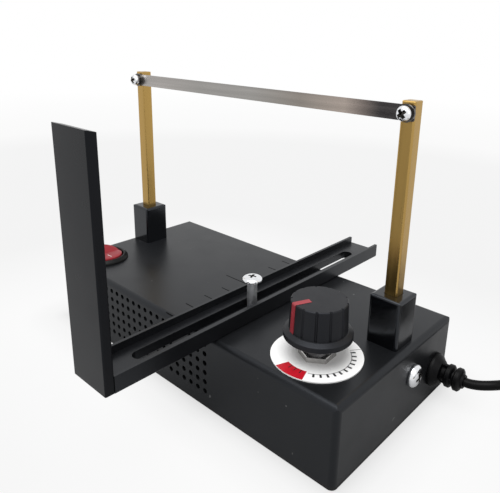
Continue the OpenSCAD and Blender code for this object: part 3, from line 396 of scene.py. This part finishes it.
# Strain relief: domed flange, given as insets and rises, and split ribs
gland = {
    "start": 0.0800, "middle": (0.0274, 0.0120), "inside": 0.009, "out": 0.0125,
    "flange": 0.0066, "dome": [(0, 0.0012), (0.0006, 0.0021), (0.0016, 0.0029)],
    "rib": 0.0045, "neck": 0.0030, "bore": 0.0018, "boreDepth": 0.001,
    "collar": 0.0036, "ribs": (0.0057, 0.0091), "ribWidth": 0.0021, "edge": 0.0004,
    "bridge": 24, "steps": 96,
}


def makeGland(g):
    edge, floor = g["edge"], g["out"] - g["boreDepth"]
    profile = [(0, -g["inside"]), (g["neck"], -g["inside"]), (g["flange"], 0)]
    profile += [(g["flange"] - inset, at) for inset, at in g["dome"]]
    profile += [(g["rib"], g["collar"]), (g["neck"], g["collar"] + edge)]
    for at in g["ribs"]:
        end = at + g["ribWidth"]
        profile += [(g["neck"], at - edge), (g["rib"] - edge, at), (g["rib"], at + edge)]
        profile += [(g["rib"], end - edge), (g["rib"] - edge, end), (g["neck"], end + edge)]
    profile += [(g["neck"] - edge, g["out"]), (g["bore"], g["out"]), (g["bore"], floor), (0, floor)]
    half = math.radians(g["bridge"] / 2)

    def bridged(angle, radius, height):
        gap = radius == g["neck"] and height > 0
        firstGap = height < g["ribs"][0]
        turned = angle + (0 if firstGap else math.pi / 2)
        onBridge = abs((turned + math.pi / 2) % math.pi - math.pi / 2) < half
        return g["rib"] - edge if gap and onBridge and height < g["ribs"][1] else radius

    place = Matrix.Translation((g["start"], *g["middle"])) @ Matrix.Rotation(math.pi / 2, 4, "Y")
    verts, faces = spin(profile, g["steps"], bridged, place)
    piece = addPiece("strainRelief", verts, faces, "plug_black", "box", sharp=35)
    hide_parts("cord_gland")
    return piece


# Mains plug with a soft waist, finger ribs and its sleeve. Shares are of the body's or the sleeve's length
plug = {
    "x": 0.1614, "front": -0.0020, "bodyEnd": 0.0240, "back": 0.0380, "axisZ": 0.0058,
    "halfWidth": 0.0110, "halfHeight": 0.0058, "square": 3.4, "nose": 0.10, "noseShare": 0.125,
    "waist": 0.42, "waistFrom": 0.45, "slope": 0.16, "slopeFrom": 0.5,
    "ribs": 5, "ribDepth": 0.0005, "ribsFrom": 0.25, "ribsTo": 0.75,
    "sleeveRoot": 0.0042, "sleeveEnd": 0.0030, "sleeveRings": 5, "ringDepth": 0.0005, "ringsTo": 0.92,
    "blendShare": 1 / 6, "steps": 56, "slices": 64,
}


def plugBody(p, along):
    nose = 1 - p["nose"] * (1 - math.sin(min(1, along / p["noseShare"]) * math.pi / 2))
    waist = p["waist"] * (max(0, along - p["waistFrom"]) / (1 - p["waistFrom"])) ** 2
    wide = p["halfWidth"] * nose * (1 - waist)
    tall = p["halfHeight"] * nose * (1 - p["slope"] * max(0, along - p["slopeFrom"]))
    if p["ribsFrom"] < along < p["ribsTo"]:
        turns = (along - p["ribsFrom"]) / (p["ribsTo"] - p["ribsFrom"]) * p["ribs"]
        wide -= p["ribDepth"] * (1 - math.cos(2 * math.pi * turns)) / 2
    return wide, tall, p["square"]


def plugSleeve(p, share):
    blend = max(0, 1 - share / p["blendShare"]) ** 2
    radius = p["sleeveRoot"] + (p["sleeveEnd"] - p["sleeveRoot"]) * share
    if share <= p["ringsTo"]:
        radius -= p["ringDepth"] * (1 + math.cos(2 * math.pi * share * p["sleeveRings"])) / 2
    endWide, endTall, square = plugBody(p, 1)
    wide = radius + blend * (endWide - p["sleeveRoot"])
    tall = radius + blend * (endTall - p["sleeveRoot"])
    return wide, tall, 2 + blend * (square - 2)


def makePlug(p):
    rings = []
    for i in range(p["slices"] + 1):
        y = p["front"] + (p["back"] - p["front"]) * i / p["slices"]
        along = (y - p["front"]) / (p["bodyEnd"] - p["front"])
        share = (y - p["bodyEnd"]) / (p["back"] - p["bodyEnd"])
        wide, tall, power = plugBody(p, along) if along <= 1 else plugSleeve(p, share)
        ring = []
        for angle in around(p["steps"]):
            c, s = math.cos(angle), math.sin(angle)
            x = math.copysign(abs(c) ** (2 / power), c) * wide
            z = math.copysign(abs(s) ** (2 / power), s) * tall
            ring.append((p["x"] + x, y, p["axisZ"] + z))
        rings.append(ring)
    verts, faces = loft(rings)
    piece = addPiece("plugShell", verts, faces, "plug_black", "box", sharp=50)
    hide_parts("plug_body")
    return piece


# Band round the coil, with its overlapping end
tie = {"width": 0.0040, "thick": 0.0008, "corner": 0.0030, "steps": 8, "lap": 0.0007}


def makeTie(t):
    low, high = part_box("cord_tie")
    x, half, r = middleOf("cord_tie").x, t["width"] / 2, t["corner"]
    corners = [(high.y - r, low.z + r, -90), (high.y - r, high.z - r, 0),
               (low.y + r, high.z - r, 90), (low.y + r, low.z + r, 180)]
    outer, inner = [], []
    for cy, cz, start in corners:
        outer += roundCorner((cy, cz), r, start, start + 90, t["steps"])
        inner += roundCorner((cy, cz), r - t["thick"], start, start + 90, t["steps"])
    band = hoop([[(x + side * half, y, z) for y, z in loop]
                 for side, loop in ((-1, outer), (1, outer), (1, inner), (-1, inner))])
    lapOutline = [(x - half, low.y + r), (x + half, low.y + r), (x + half, high.y - 2 * r),
                  (x, high.y - r), (x - half, high.y - 2 * r)]
    lap = plate(lapOutline, high.z, high.z + t["lap"])
    verts, faces = gather([band, lap])
    piece = addPiece("tieBand", verts, faces, "tie_grey", "box", sharp=35)
    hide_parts("cord_tie")
    return piece


# Mains cord: the lead from the strain relief, the coil behind the box, and the tail to the plug.
# The lead's points are millimetres from the exit and a share of its height; the tail's run on to the plug
cord = {
    "radius": 0.0018, "exit": (0.0925, 0.0274, 0.0120), "floorZ": 0.0029,
    "lead": [(0, 0, 1), (2, 0.14, 1.016), (3.95, 0.55, 1.049), (5.85, 1.22, 1.088),
             (7.6, 2.15, 1.126), (9.2, 3.3, 1.154), (10.7, 4.7, 1.17), (13.05, 7.95, 1.154),
             (14.9, 12.05, 1.055), (15.85, 16.45, 0.879), (16.1, 21.45, 0.626), (16.1, 26.4, 0.385),
             (16.1, 31.4, 0.176), (16.1, 36.4, 0.044), (16.1, 41.4, 0)],
    "coilMiddle": (0.1350, 0.0750), "coilOuter": 0.0264, "pitch": 0.0041,
    "layerTurns": 2.625, "layers": 4, "climb": 0.5, "ringsPerTurn": 24,
    "tail": [(4.4, 0.98), (10.4, 0.81), (16.4, 0.51), (22.4, 0.22), (28.4, 0.04), (33.4, 0)],
    "tailStart": (0.1614, 0.0714), "plugZ": 0.0058,
    "sides": 5, "segments": 4,
}


def smoothStep(t):
    c = min(max(t, 0), 1)
    return c * c * (3 - 2 * c)


def coilPoint(c, t):
    u = t % (2 * c["layerTurns"])
    radius = c["coilOuter"] - c["pitch"] * min(u, 2 * c["layerTurns"] - u)
    angle = math.pi - 2 * math.pi * t
    climbed = sum(smoothStep((t - k * c["layerTurns"]) / c["climb"] + 0.5) for k in range(1, c["layers"]))
    x, y = c["coilMiddle"]
    z = c["floorZ"] + c["pitch"] * climbed
    return Vector((x + radius * math.cos(angle), y + radius * math.sin(angle), z))


def cordRoute(c):
    exitX, exitY, exitZ = c["exit"]
    route = [Vector((exitX + dx * mm, exitY + dy * mm, c["floorZ"] + (exitZ - c["floorZ"]) * share))
             for dx, dy, share in c["lead"]]
    turns = c["layerTurns"] * c["layers"]
    route += [coilPoint(c, i / c["ringsPerTurn"]) for i in range(round(turns * c["ringsPerTurn"]) + 1)]
    topZ = c["floorZ"] + c["pitch"] * (c["layers"] - 1)
    x, y = c["tailStart"]
    route.append(Vector((x, y, topZ)))
    route += [Vector((x, y - d * mm, c["plugZ"] + (topZ - c["plugZ"]) * share)) for d, share in c["tail"]]
    return route


def makeCord(c):
    route = cordRoute(c)
    curve = bpy.data.curves.new("mainsCord", "CURVE")
    curve.dimensions = "3D"
    curve.bevel_depth = c["radius"]
    curve.bevel_resolution = c["sides"]
    curve.use_fill_caps = True
    spline = curve.splines.new("BEZIER")
    spline.resolution_u = c["segments"]
    spline.bezier_points.add(len(route) - 1)
    for point, place in zip(spline.bezier_points, route):
        point.co = place
        point.handle_left_type = point.handle_right_type = "AUTO"
    curve.materials.append(finishes["cord_black"])
    piece = linked("mainsCord", curve)
    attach(piece, "box")
    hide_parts("cord_lead", "cord_coil", "cord_tail")


cordPieces = [makeGland(gland), makePlug(plug), makeTie(tie), nodes["plug_pins"]]
makeCord(cord)
print("cord, strain relief, tie and plug made")


# Screws: a domed head with a cross recess over a plain or threaded shank.
# The recess tapers by depth share and size; what lies deeper than the skin under the dome gets painted
# shade
screwForm = {
    "tip": 0.72, "tipRise": 0.5, "rowsPerPitch": 8, "steps": 48,
    "underside": 0.96, "rimLow": 0.10, "rimHigh": 0.30, "domePower": 0.72, "domeSteps": 10,
    "taper": [(-1, 1.06), (0.25, 0.92), (1, 0.42)],
    "shadeDepth": 1.02, "skin": 0.00006, "shankTop": -0.00005,
}


def crossCutter(half, wide, top, depth):
    outline = []
    for quarter in range(4):
        turn = Matrix.Rotation(quarter * math.pi / 2, 2)
        outline += [turn @ Vector(p) for p in ((half, -wide), (half, wide), (wide, wide))]
    return loft([[(p.x * size, p.y * size, top - depth * share) for p in outline]
                 for share, size in screwForm["taper"]])


def cutMesh(name, body, cutter):
    pair = [linked(name, meshOf(name, *shape, cutterWeld)) for shape in (body, cutter)]
    cut = pair[0].modifiers.new("recess", "BOOLEAN")
    cut.operation = "DIFFERENCE"
    cut.solver = "EXACT"
    cut.object = pair[1]
    bpy.context.view_layer.update()
    result = bpy.data.meshes.new_from_object(pair[0].evaluated_get(bpy.context.evaluated_depsgraph_get()))
    for thing in pair:
        bpy.data.objects.remove(thing)
    return result


def domeHeight(rise, angle):
    rim = screwForm["rimHigh"]
    return rise * (rim + (1 - rim) * math.sin(angle))


def screwMesh(name, s):
    f, head, rise, radius = screwForm, s["headRadius"], s["headHeight"], s["radius"]
    low = -s["length"] + radius * f["tipRise"]
    profile = [(0, -s["length"]), (radius * f["tip"], -s["length"]), (radius, low)]
    if s["pitch"]:
        row = s["pitch"] / f["rowsPerPitch"]
        profile += [(radius, low + row * k) for k in range(1, int((-low - s["plain"]) / row))]
    profile += [(radius, -s["plain"]), (radius, 0), (head * f["underside"], 0)]
    profile += [(head, rise * f["rimLow"]), (head, rise * f["rimHigh"])]
    for k in range(1, f["domeSteps"]):
        angle = math.pi / 2 * k / f["domeSteps"]
        profile.append((head * math.cos(angle) ** f["domePower"], domeHeight(rise, angle)))
    profile.append((0, rise))

    def threaded(angle, r, z):
        if r != radius or not s["pitch"] or z >= -s["plain"]:
            return r
        wave = (z / s["pitch"] - angle / (2 * math.pi)) % 1
        return r - s["threadDepth"] * (1 - abs(2 * wave - 1))

    body = spin(profile, f["steps"], threaded)
    cutter = crossCutter(head * s["recess"], head * s["recessLine"], rise, s["recessDepth"])
    return cutMesh(name, body, cutter)


# Materials by place: 1 for the recess, a painted shade, 2 for the shank, which is duller than the head
def darkenRecess(piece, s, places):
    for finishName in ("recess_painted_shade", "shank_steel"):
        piece.data.materials.append(finishes[finishName])
    f, head, rise = screwForm, s["headRadius"], s["headHeight"]
    back = [place.inverted() for place in places]
    for face in piece.data.polygons:
        at = min((turn @ face.center for turn in back), key=lambda point: point.length)
        out = math.hypot(at.x, at.y)
        dome = domeHeight(rise, math.acos(min(1, (out / head) ** (1 / f["domePower"]))))
        if out < head * s["recess"] and rise - f["shadeDepth"] * s["recessDepth"] < at.z < dome - f["skin"]:
            face.material_index = 1
        elif at.z < f["shankTop"]:
            face.material_index = 2


def makeScrews(name, s, places, body, node):
    source = screwMesh(name, s)
    parts = []
    for place in places:
        verts = [place @ v.co for v in source.vertices]
        parts.append((verts, [list(face.vertices) for face in source.polygons]))
    verts, faces = gather(parts)
    piece = addPiece(name, verts, faces, "bright_steel", body, sharp=32)
    darkenRecess(piece, s, places)
    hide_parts(node)


def standing(place, axis, turn):
    upright = Vector(axis).to_track_quat("Z", "Y").to_matrix().to_4x4()
    return Matrix.Translation(place) @ upright @ Matrix.Rotation(math.radians(turn), 4, "Z")


coverScrew = {"headRadius": 0.00435, "headHeight": 0.0028, "radius": 0.0020, "length": 0.006,
              "pitch": 0, "plain": 0, "threadDepth": 0, "turn": 12,
              "recess": 0.52, "recessLine": 0.13, "recessDepth": 0.0018}
low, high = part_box("cover_screws")
seatY, seatZ = middleOf("cover_screws").y, middleOf("cover_screws").z
makeScrews("coverScrewPair", coverScrew, [
    standing((high.x - coverScrew["headHeight"], seatY, seatZ), (1, 0, 0), coverScrew["turn"]),
    standing((low.x + coverScrew["headHeight"], seatY, seatZ), (-1, 0, 0), -coverScrew["turn"]),
], "box", "cover_screws")

bladeScrew = {"headRadius": 0.0025, "headHeight": 0.0022, "radius": 0.00125, "length": 0.0072,
              "pitch": 0.00045, "plain": 0.0020, "threadDepth": 0.00018, "turns": (20, 38),
              "recess": 0.70, "recessLine": 0.25, "recessDepth": 0.0015}
low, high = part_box("blade_screws")
bladeEnds = (low.x + bladeScrew["headRadius"], high.x - bladeScrew["headRadius"])
makeScrews("bladeScrewPair", bladeScrew, [
    standing((x, low.y + bladeScrew["headHeight"], middleOf("blade_screws").z), (0, -1, 0), turn)
    for x, turn in zip(bladeEnds, bladeScrew["turns"])
], "box", "blade_screws")

clampScrew = {"headRadius": 0.0040, "headHeight": 0.0019, "radius": 0.0020, "length": 0.020,
              "pitch": 0.0007, "plain": 0.0125, "threadDepth": 0.00016, "turn": 20,
              "recess": 0.44, "recessLine": 0.12, "recessDepth": 0.0016}
low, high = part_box("clamp_screw")
clampAt = middleOf("clamp_screw")
makeScrews("clampScrewThreaded", clampScrew, [
    standing((clampAt.x, clampAt.y, high.z - clampScrew["headHeight"]), (0, 0, 1), clampScrew["turn"]),
], "clamp", "clamp_screw")
print("screws made")


# Knob: skirt, thirteen ribs with narrow grooves, and the red line that runs over the rim.
# Two rings at a small share from the skirt's edges keep its slope flat
knob = {
    "skirt": 0.0120, "skirtHeight": 0.0022, "slope": 0.0008, "slopeHold": 0.08, "rimEdge": 0.00018,
    "grip": 0.0098, "gripFoot": 0.0102, "footOut": 0.0002, "footRise": 0.00006,
    "topRing": 0.6, "roundInside": 0.9,
    "edge": 0.0003, "bore": 0.00304, "boreDepth": 0.0101, "ribs": 13, "grooveDepth": 0.00055,
    "grooveHalf": 2.8, "flat": 0.45, "turn": -24, "steps": 728,
}
pointer = {"inner": 0.0036, "half": 0.0011, "proud": 0.00008, "sink": 0.0003, "foot": 0.0031,
           "bendRadius": 0.0005, "bendSteps": 5}


def makeKnob(k):
    low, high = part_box("knob")
    bottom, top, edge = low.z, high.z, k["edge"]
    shoulder = bottom + k["skirtHeight"]
    foot = shoulder + k["slope"]
    profile = [(0, bottom + k["boreDepth"]), (k["bore"], bottom + k["boreDepth"]), (k["bore"], bottom)]
    profile += [(k["skirt"] - edge, bottom), (k["skirt"], bottom + edge)]
    profile += [(k["skirt"], shoulder - edge), (k["skirt"], shoulder - k["rimEdge"])]
    rim, hip = Vector((k["skirt"] - k["rimEdge"], shoulder)), Vector((k["gripFoot"] + k["footOut"], foot))
    profile += [tuple(rim.lerp(hip, share)) for share in (0, k["slopeHold"], 1 - k["slopeHold"], 1)]
    profile += [(k["gripFoot"], foot + k["footRise"])]
    profile += [(k["grip"], top - edge), (k["grip"] - edge, top), (k["grip"] * k["topRing"], top), (0, top)]
    step = 2 * math.pi / k["ribs"]
    half = math.radians(k["grooveHalf"])

    def ribbed(angle, radius, height):
        if height < foot + k["footRise"] / 2 or radius < k["grip"] * k["roundInside"]:
            return radius
        offset = (angle + math.pi / 2 + step / 2) % step - step / 2
        facet = 1 - k["flat"] * (1 - math.cos(step / 2) / math.cos(step / 2 - abs(offset)))
        groove = math.cos(math.pi / 2 * offset / half) if abs(offset) < half else 0
        return radius * facet - k["grooveDepth"] * max(0, groove)

    verts, faces = spin(profile, k["steps"], ribbed, onAxis("knob", k["turn"]))
    piece = addPiece("ribbedKnob", verts, faces, "knob_plastic", "knob", sharp=38)
    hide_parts("knob")


# The line's centre is a path of radius and height, swept sideways
def makePointer(p, k):
    low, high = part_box("knob")
    place = onAxis("knob", k["turn"])
    outer, lift, r = k["grip"] + p["proud"], high.z + p["proud"], p["bendRadius"]
    path = [(p["inner"], lift)] + roundCorner((outer - r, lift - r), r, 90, 0, p["bendSteps"])
    path.append((k["gripFoot"] + p["proud"], low.z + p["foot"]))
    rings = []
    for i, at in enumerate(path):
        before, after = path[max(i - 1, 0)], path[min(i + 1, len(path) - 1)]
        along = Vector((after[0] - before[0], after[1] - before[1])).normalized()
        deep = Vector(at) + Vector((along.y, -along.x)) * p["sink"]
        rings.append([place @ Vector((side * p["half"], -q[0], q[1]))
                      for side, q in ((-1, at), (1, at), (1, deep), (-1, deep))])
    verts, faces = loft(rings)
    piece = addPiece("pointerLine", verts, faces, "pointer_red", "knob", sharp=30)
    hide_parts("knob_pointer")


makeKnob(knob)
makePointer(pointer, knob)

# Nut under the knob: plain flats, with the edges of its top broken
potNut = {"across": 0.0114, "edge": 0.00022, "edgeSpread": 1.15, "bore": 0.0036, "turn": 34, "steps": 48}


def makePotNut(n):
    low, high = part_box("pot_nut")
    corner, sixth = n["across"] / math.sqrt(3), math.pi / 3
    profile = [(n["bore"], low.z), (corner, low.z), (corner, high.z - n["edge"])]
    profile += [(corner - n["edge"] * n["edgeSpread"], high.z), (n["bore"], high.z), (n["bore"], low.z)]

    def sixSided(angle, radius, height):
        off = (angle + sixth / 2) % sixth - sixth / 2
        flat = math.cos(sixth / 2) / math.cos(abs(off) - sixth / 2)
        return radius if radius == n["bore"] else radius * flat

    verts, faces = spin(profile, n["steps"], sixSided, onAxis("pot_nut", n["turn"]))
    piece = addPiece("potNutHex", verts, faces, "nut_steel", "box", "bright_steel", sharp=25)
    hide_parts("pot_nut")


makePotNut(potNut)
print("knob made")


# Print on the dial: red zone with its divisions, ticks and their arc, in degrees from the front
dial = {
    "redFrom": -21.5, "redTo": 20, "redInner": 0.0111, "redOuter": 0.0160, "redSteps": 24,
    "divisions": (-9, 1, 11), "divisionInner": 0.0112, "divisionOuter": 0.0131, "divisionHalf": 0.00017,
    "tickFrom": 32, "tickTo": 137, "ticks": 11,
    "tickInner": 0.0119, "tickOuter": 0.0136, "tickHalf": 0.00036,
    "arcInner": 0.01175, "arcOuter": 0.0121, "arcPast": 3, "arcSteps": 48, "endLine": 144, "thick": 0.00002,
}


def onDial(centre, radius, degrees):
    angle = math.radians(degrees)
    return centre.x + radius * math.sin(angle), centre.y - radius * math.cos(angle)


def ringSector(centre, inner, outer, start, end, steps):
    angles = [start + (end - start) * k / steps for k in range(steps + 1)]
    return [onDial(centre, outer, a) for a in angles] + [onDial(centre, inner, a) for a in reversed(angles)]


def radialLine(centre, inner, outer, degrees, half):
    side = math.degrees(half / ((inner + outer) / 2))
    corners = ((inner, -side), (outer, -side), (outer, side), (inner, side))
    return [onDial(centre, radius, degrees + turn) for radius, turn in corners]


def makeDialPrint(d):
    centre = middleOf("dial_disc")
    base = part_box("dial_disc")[1].z
    first, second = base + d["thick"], base + 2 * d["thick"]
    red = ringSector(centre, d["redInner"], d["redOuter"], d["redFrom"], d["redTo"], d["redSteps"])
    addPiece("dialRedZone", *plate(red, base, first), "print_red", "box", "dial_white")
    lines = []
    for at in d["divisions"]:
        division = radialLine(centre, d["divisionInner"], d["divisionOuter"], at, d["divisionHalf"])
        lines.append(plate(division, first, second))
    step = (d["tickTo"] - d["tickFrom"]) / (d["ticks"] - 1)
    for k in range(d["ticks"]):
        tick = radialLine(centre, d["tickInner"], d["tickOuter"], d["tickFrom"] + step * k, d["tickHalf"])
        lines.append(plate(tick, base, second))
    addPiece("dialTicks", *gather(lines), "print_black", "box", "dial_white")
    arcFrom, arcTo = d["redTo"] + d["arcPast"], d["tickTo"] + d["arcPast"]
    arc = ringSector(centre, d["arcInner"], d["arcOuter"], arcFrom, arcTo, d["arcSteps"])
    end = radialLine(centre, d["tickInner"], d["redOuter"], d["endLine"], d["divisionHalf"])
    greyLines = gather([plate(arc, base, first), plate(end, base, first)])
    addPiece("dialArc", *greyLines, "print_grey", "box", "dial_white")


makeDialPrint(dial)

# Length scale beside the rail, with its rows in millimetres
scale = {"rows": (-38, -28, -18, -8, 2, 12, 22, 32), "zero": 2, "from": -0.0028, "zeroFrom": -0.0105,
         "railGap": 0.0003, "half": 0.00022, "thick": 0.000015}


def makeScale(s):
    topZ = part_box("cover")[1].z
    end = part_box("fence_rail")[0].x - s["railGap"]
    lines = []
    for row in s["rows"]:
        start = s["zeroFrom"] if row == s["zero"] else s["from"]
        near, far = row * mm - s["half"], row * mm + s["half"]
        lines.append(plate([(start, near), (end, near), (end, far), (start, far)], topZ, topZ + s["thick"]))
    addPiece("scaleMarks", *gather(lines), "mark_dark", "box", "cover_paint")


makeScale(scale)
print("dial and scale printed")


# Switch: bevelled bezel round a well. The rim's insets and rises and the lip's are in widths of the edge
switch = {
    "bezel": 0.0110, "bezelRise": 0.0020, "barrel": 0.0098, "well": 0.0089, "wellDepth": 0.0110,
    "edge": 0.0006, "rim": [(0, 1), (0.3, 1.7), (1, 2.2)], "lip": [(1.2, 0), (0.4, 0.1), (0, 0.6)],
    "steps": 96,
}


def makeBezel(s):
    low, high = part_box("switch_body")
    edge, coverTop = s["edge"], high.z - s["bezelRise"]
    profile = [(0, low.z), (s["barrel"], low.z), (s["barrel"], coverTop), (s["bezel"], coverTop)]
    profile += [(s["bezel"] - inset * edge, coverTop + rise * edge) for inset, rise in s["rim"]]
    profile += [(s["well"] + inset * edge, high.z - drop * edge) for inset, drop in s["lip"]]
    profile += [(s["well"], coverTop - s["wellDepth"]), (0, coverTop - s["wellDepth"])]
    verts, faces = spin(profile, s["steps"], None, onAxis("switch_body"))
    piece = addPiece("switchBezel", verts, faces, "switch_black", "box", sharp=38)
    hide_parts("switch_body")
    return coverTop


# Rocker with a dip across its middle. On is a bar and off is a ring, laid on the two slopes
rocker = {
    "radius": 0.0080, "tilt": 7, "pivotDrop": 0.0020, "top": 0.0054, "dip": 0.0014, "dipPower": 1.3,
    "low": 0.0040, "soft": 0.0006, "softShare": 0.3, "rings": 10, "steps": 96,
    "markReach": 0.0042, "markHalf": 0.00020, "markSize": 0.0016, "markThick": 0.00004, "markSteps": 32,
}


def makeRocker(r, coverTop):
    pivot = Matrix.Translation((0, 0, coverTop - r["pivotDrop"])) @ onAxis("switch_body")
    place = pivot @ Matrix.Rotation(math.radians(r["tilt"]), 4, "Y")

    def sloped(x, height):
        dip = r["dip"] * (1 - abs(x) / r["radius"]) ** r["dipPower"]
        return height if height == -r["low"] else r["top"] - dip + height

    softDrop = r["softShare"] * r["soft"]
    profile = [(r["radius"] * k / r["rings"], 0) for k in range(r["rings"])]
    profile += [(r["radius"] - softDrop, -softDrop), (r["radius"], -r["soft"])]
    profile += [(r["radius"], -r["low"]), (0, -r["low"])]
    verts, faces = spin(profile, r["steps"], None, place, sloped)
    piece = addPiece("rockerPaddle", verts, faces, "rocker_red", "rocker", sharp=38)
    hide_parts("switch_rocker")

    def laid(outline, lift):
        return [place @ Vector((x, y, sloped(x, lift))) for x, y in outline]

    reach, size, half, thick = r["markReach"], r["markSize"], r["markHalf"], r["markThick"]
    barOutline = [(reach - size, -half), (reach + size, -half), (reach + size, half), (reach - size, half)]
    bar = loft([laid(barOutline, -thick), laid(barOutline, thick)])
    outer, inner = ([(-reach + radius * math.cos(a), radius * math.sin(a)) for a in around(r["markSteps"])]
                    for radius in (size + half, size - half))
    ring = hoop([laid(outer, -thick), laid(outer, thick), laid(inner, thick), laid(inner, -thick)])
    addPiece("rockerMarks", *gather([bar, ring]), "mark_white", "rocker", "dial_white")


makeRocker(rocker, makeBezel(switch))
print("switch made")


# Plain pale floor, white surroundings and soft light from above and from the right.
# Levels go by metres from the box: the floor's glow as seen, the share of it that mirrors see, and its grey
stage = {
    "floor": 0.44, "floorSize": 8, "floorZ": -0.0003, "worldDiffuse": 0.45, "white": 1,
    "glow": [(0, 0.64), (0.006, 0.83), (0.02, 0.92), (0.05, 0.96), (1, 1)],
    "mirrored": [(0, 0.02), (0.02, 0.20), (0.05, 0.70), (0.10, 1), (1, 1)],
    "pale": [(0, 1), (0.022, 1), (0.05, 0.96), (0.10, 0.915), (0.40, 0.92), (0.50, 0.97), (1, 1)],
}
lamps = {
    "overhead": {"place": (0.08, -0.24, 0.70), "aim": (0, 0, 0.03), "size": 0.7, "watts": 5.4},
    "side": {"place": (0.80, -0.05, 0.45), "aim": (0, 0, 0.05), "size": 0.7, "watts": 0.9},
}


def seenRays(tree, mirrored=None):
    path = tree.nodes.new("ShaderNodeLightPath")
    total = path.outputs["Is Camera Ray"]
    for ray in ("Is Glossy Ray", "Is Transmission Ray"):
        add = tree.nodes.new("ShaderNodeMath")
        add.operation = "MULTIPLY_ADD"
        add.inputs[1].default_value = 1
        if mirrored:
            tree.links.new(mirrored, add.inputs[1])
        tree.links.new(path.outputs[ray], add.inputs[0])
        tree.links.new(total, add.inputs[2])
        total = add.outputs["Value"]
    return total


# Distance from the box's outline, by which the floor pales into the white surroundings
def distanceOut(tree):
    low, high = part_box("base_plate")
    steps = [("ABSOLUTE", None), ("SUBTRACT", (high - low) / 2), ("MAXIMUM", (0, 0, 0)), ("LENGTH", None)]
    place = tree.nodes.new("ShaderNodeTexCoord").outputs["Object"]
    for operation, value in steps:
        step = tree.nodes.new("ShaderNodeVectorMath")
        step.operation = operation
        if value is not None:
            step.inputs[1].default_value = value
        tree.links.new(place, step.inputs[0])
        place = step.outputs["Value" if operation == "LENGTH" else "Vector"]
    return place


def greys(tree, distance, stops):
    return ramp(tree, distance, [(at, (level,) * 3) for at, level in stops])


def seenGlow(tree, s, distance):
    times = tree.nodes.new("ShaderNodeMath")
    times.operation = "MULTIPLY"
    tree.links.new(greys(tree, distance, s["glow"]), times.inputs[0])
    tree.links.new(seenRays(tree, greys(tree, distance, s["mirrored"])), times.inputs[1])
    return times.outputs["Value"]


def makeWorld(s):
    scene = bpy.context.scene
    scene.view_settings.view_transform = "Standard"
    world = bpy.data.worlds.new("studio")
    world.use_nodes = True
    scene.world = world
    tree = world.node_tree
    background = tree.nodes["Background"]
    background.inputs["Color"].default_value = (1, 1, 1, 1)
    strength = mapRange(tree, seenRays(tree), target=(s["worldDiffuse"], s["white"]))
    tree.links.new(strength, background.inputs["Strength"])


def makeFloor(s):
    material = bpy.data.materials.new("paleFloor")
    material.use_nodes = True
    tree = material.node_tree
    tree.nodes.clear()
    matt = tree.nodes.new("ShaderNodeBsdfDiffuse")
    matt.inputs["Color"].default_value = (s["floor"], s["floor"], s["floor"], 1)
    glow = tree.nodes.new("ShaderNodeEmission")
    mix = tree.nodes.new("ShaderNodeMixShader")
    output = tree.nodes.new("ShaderNodeOutputMaterial")
    distance = distanceOut(tree)
    tree.links.new(greys(tree, distance, s["pale"]), glow.inputs["Color"])
    tree.links.new(seenGlow(tree, s, distance), mix.inputs["Fac"])
    tree.links.new(matt.outputs["BSDF"], mix.inputs[1])
    tree.links.new(glow.outputs["Emission"], mix.inputs[2])
    tree.links.new(mix.outputs["Shader"], output.inputs["Surface"])
    half = s["floorSize"] / 2
    corners = [(x * half, y * half, s["floorZ"]) for x, y in ((-1, -1), (1, -1), (1, 1), (-1, 1))]
    mesh = bpy.data.meshes.new("floor")
    mesh.from_pydata(corners, [], [[0, 1, 2, 3]])
    mesh.materials.append(material)
    floor = linked("floor", mesh)


def makeLamp(name, lamp):
    data = bpy.data.lights.new(name, "AREA")
    data.shape = "DISK"
    data.size = lamp["size"]
    data.energy = lamp["watts"]
    light = linked(name, data)
    light.location = lamp["place"]
    light.rotation_mode = "QUATERNION"
    light.rotation_quaternion = (Vector(lamp["aim"]) - Vector(lamp["place"])).to_track_quat("-Z", "Y")


makeWorld(stage)
makeFloor(stage)
for lampName, lamp in lamps.items():
    makeLamp(lampName, lamp)
print("stage lit")
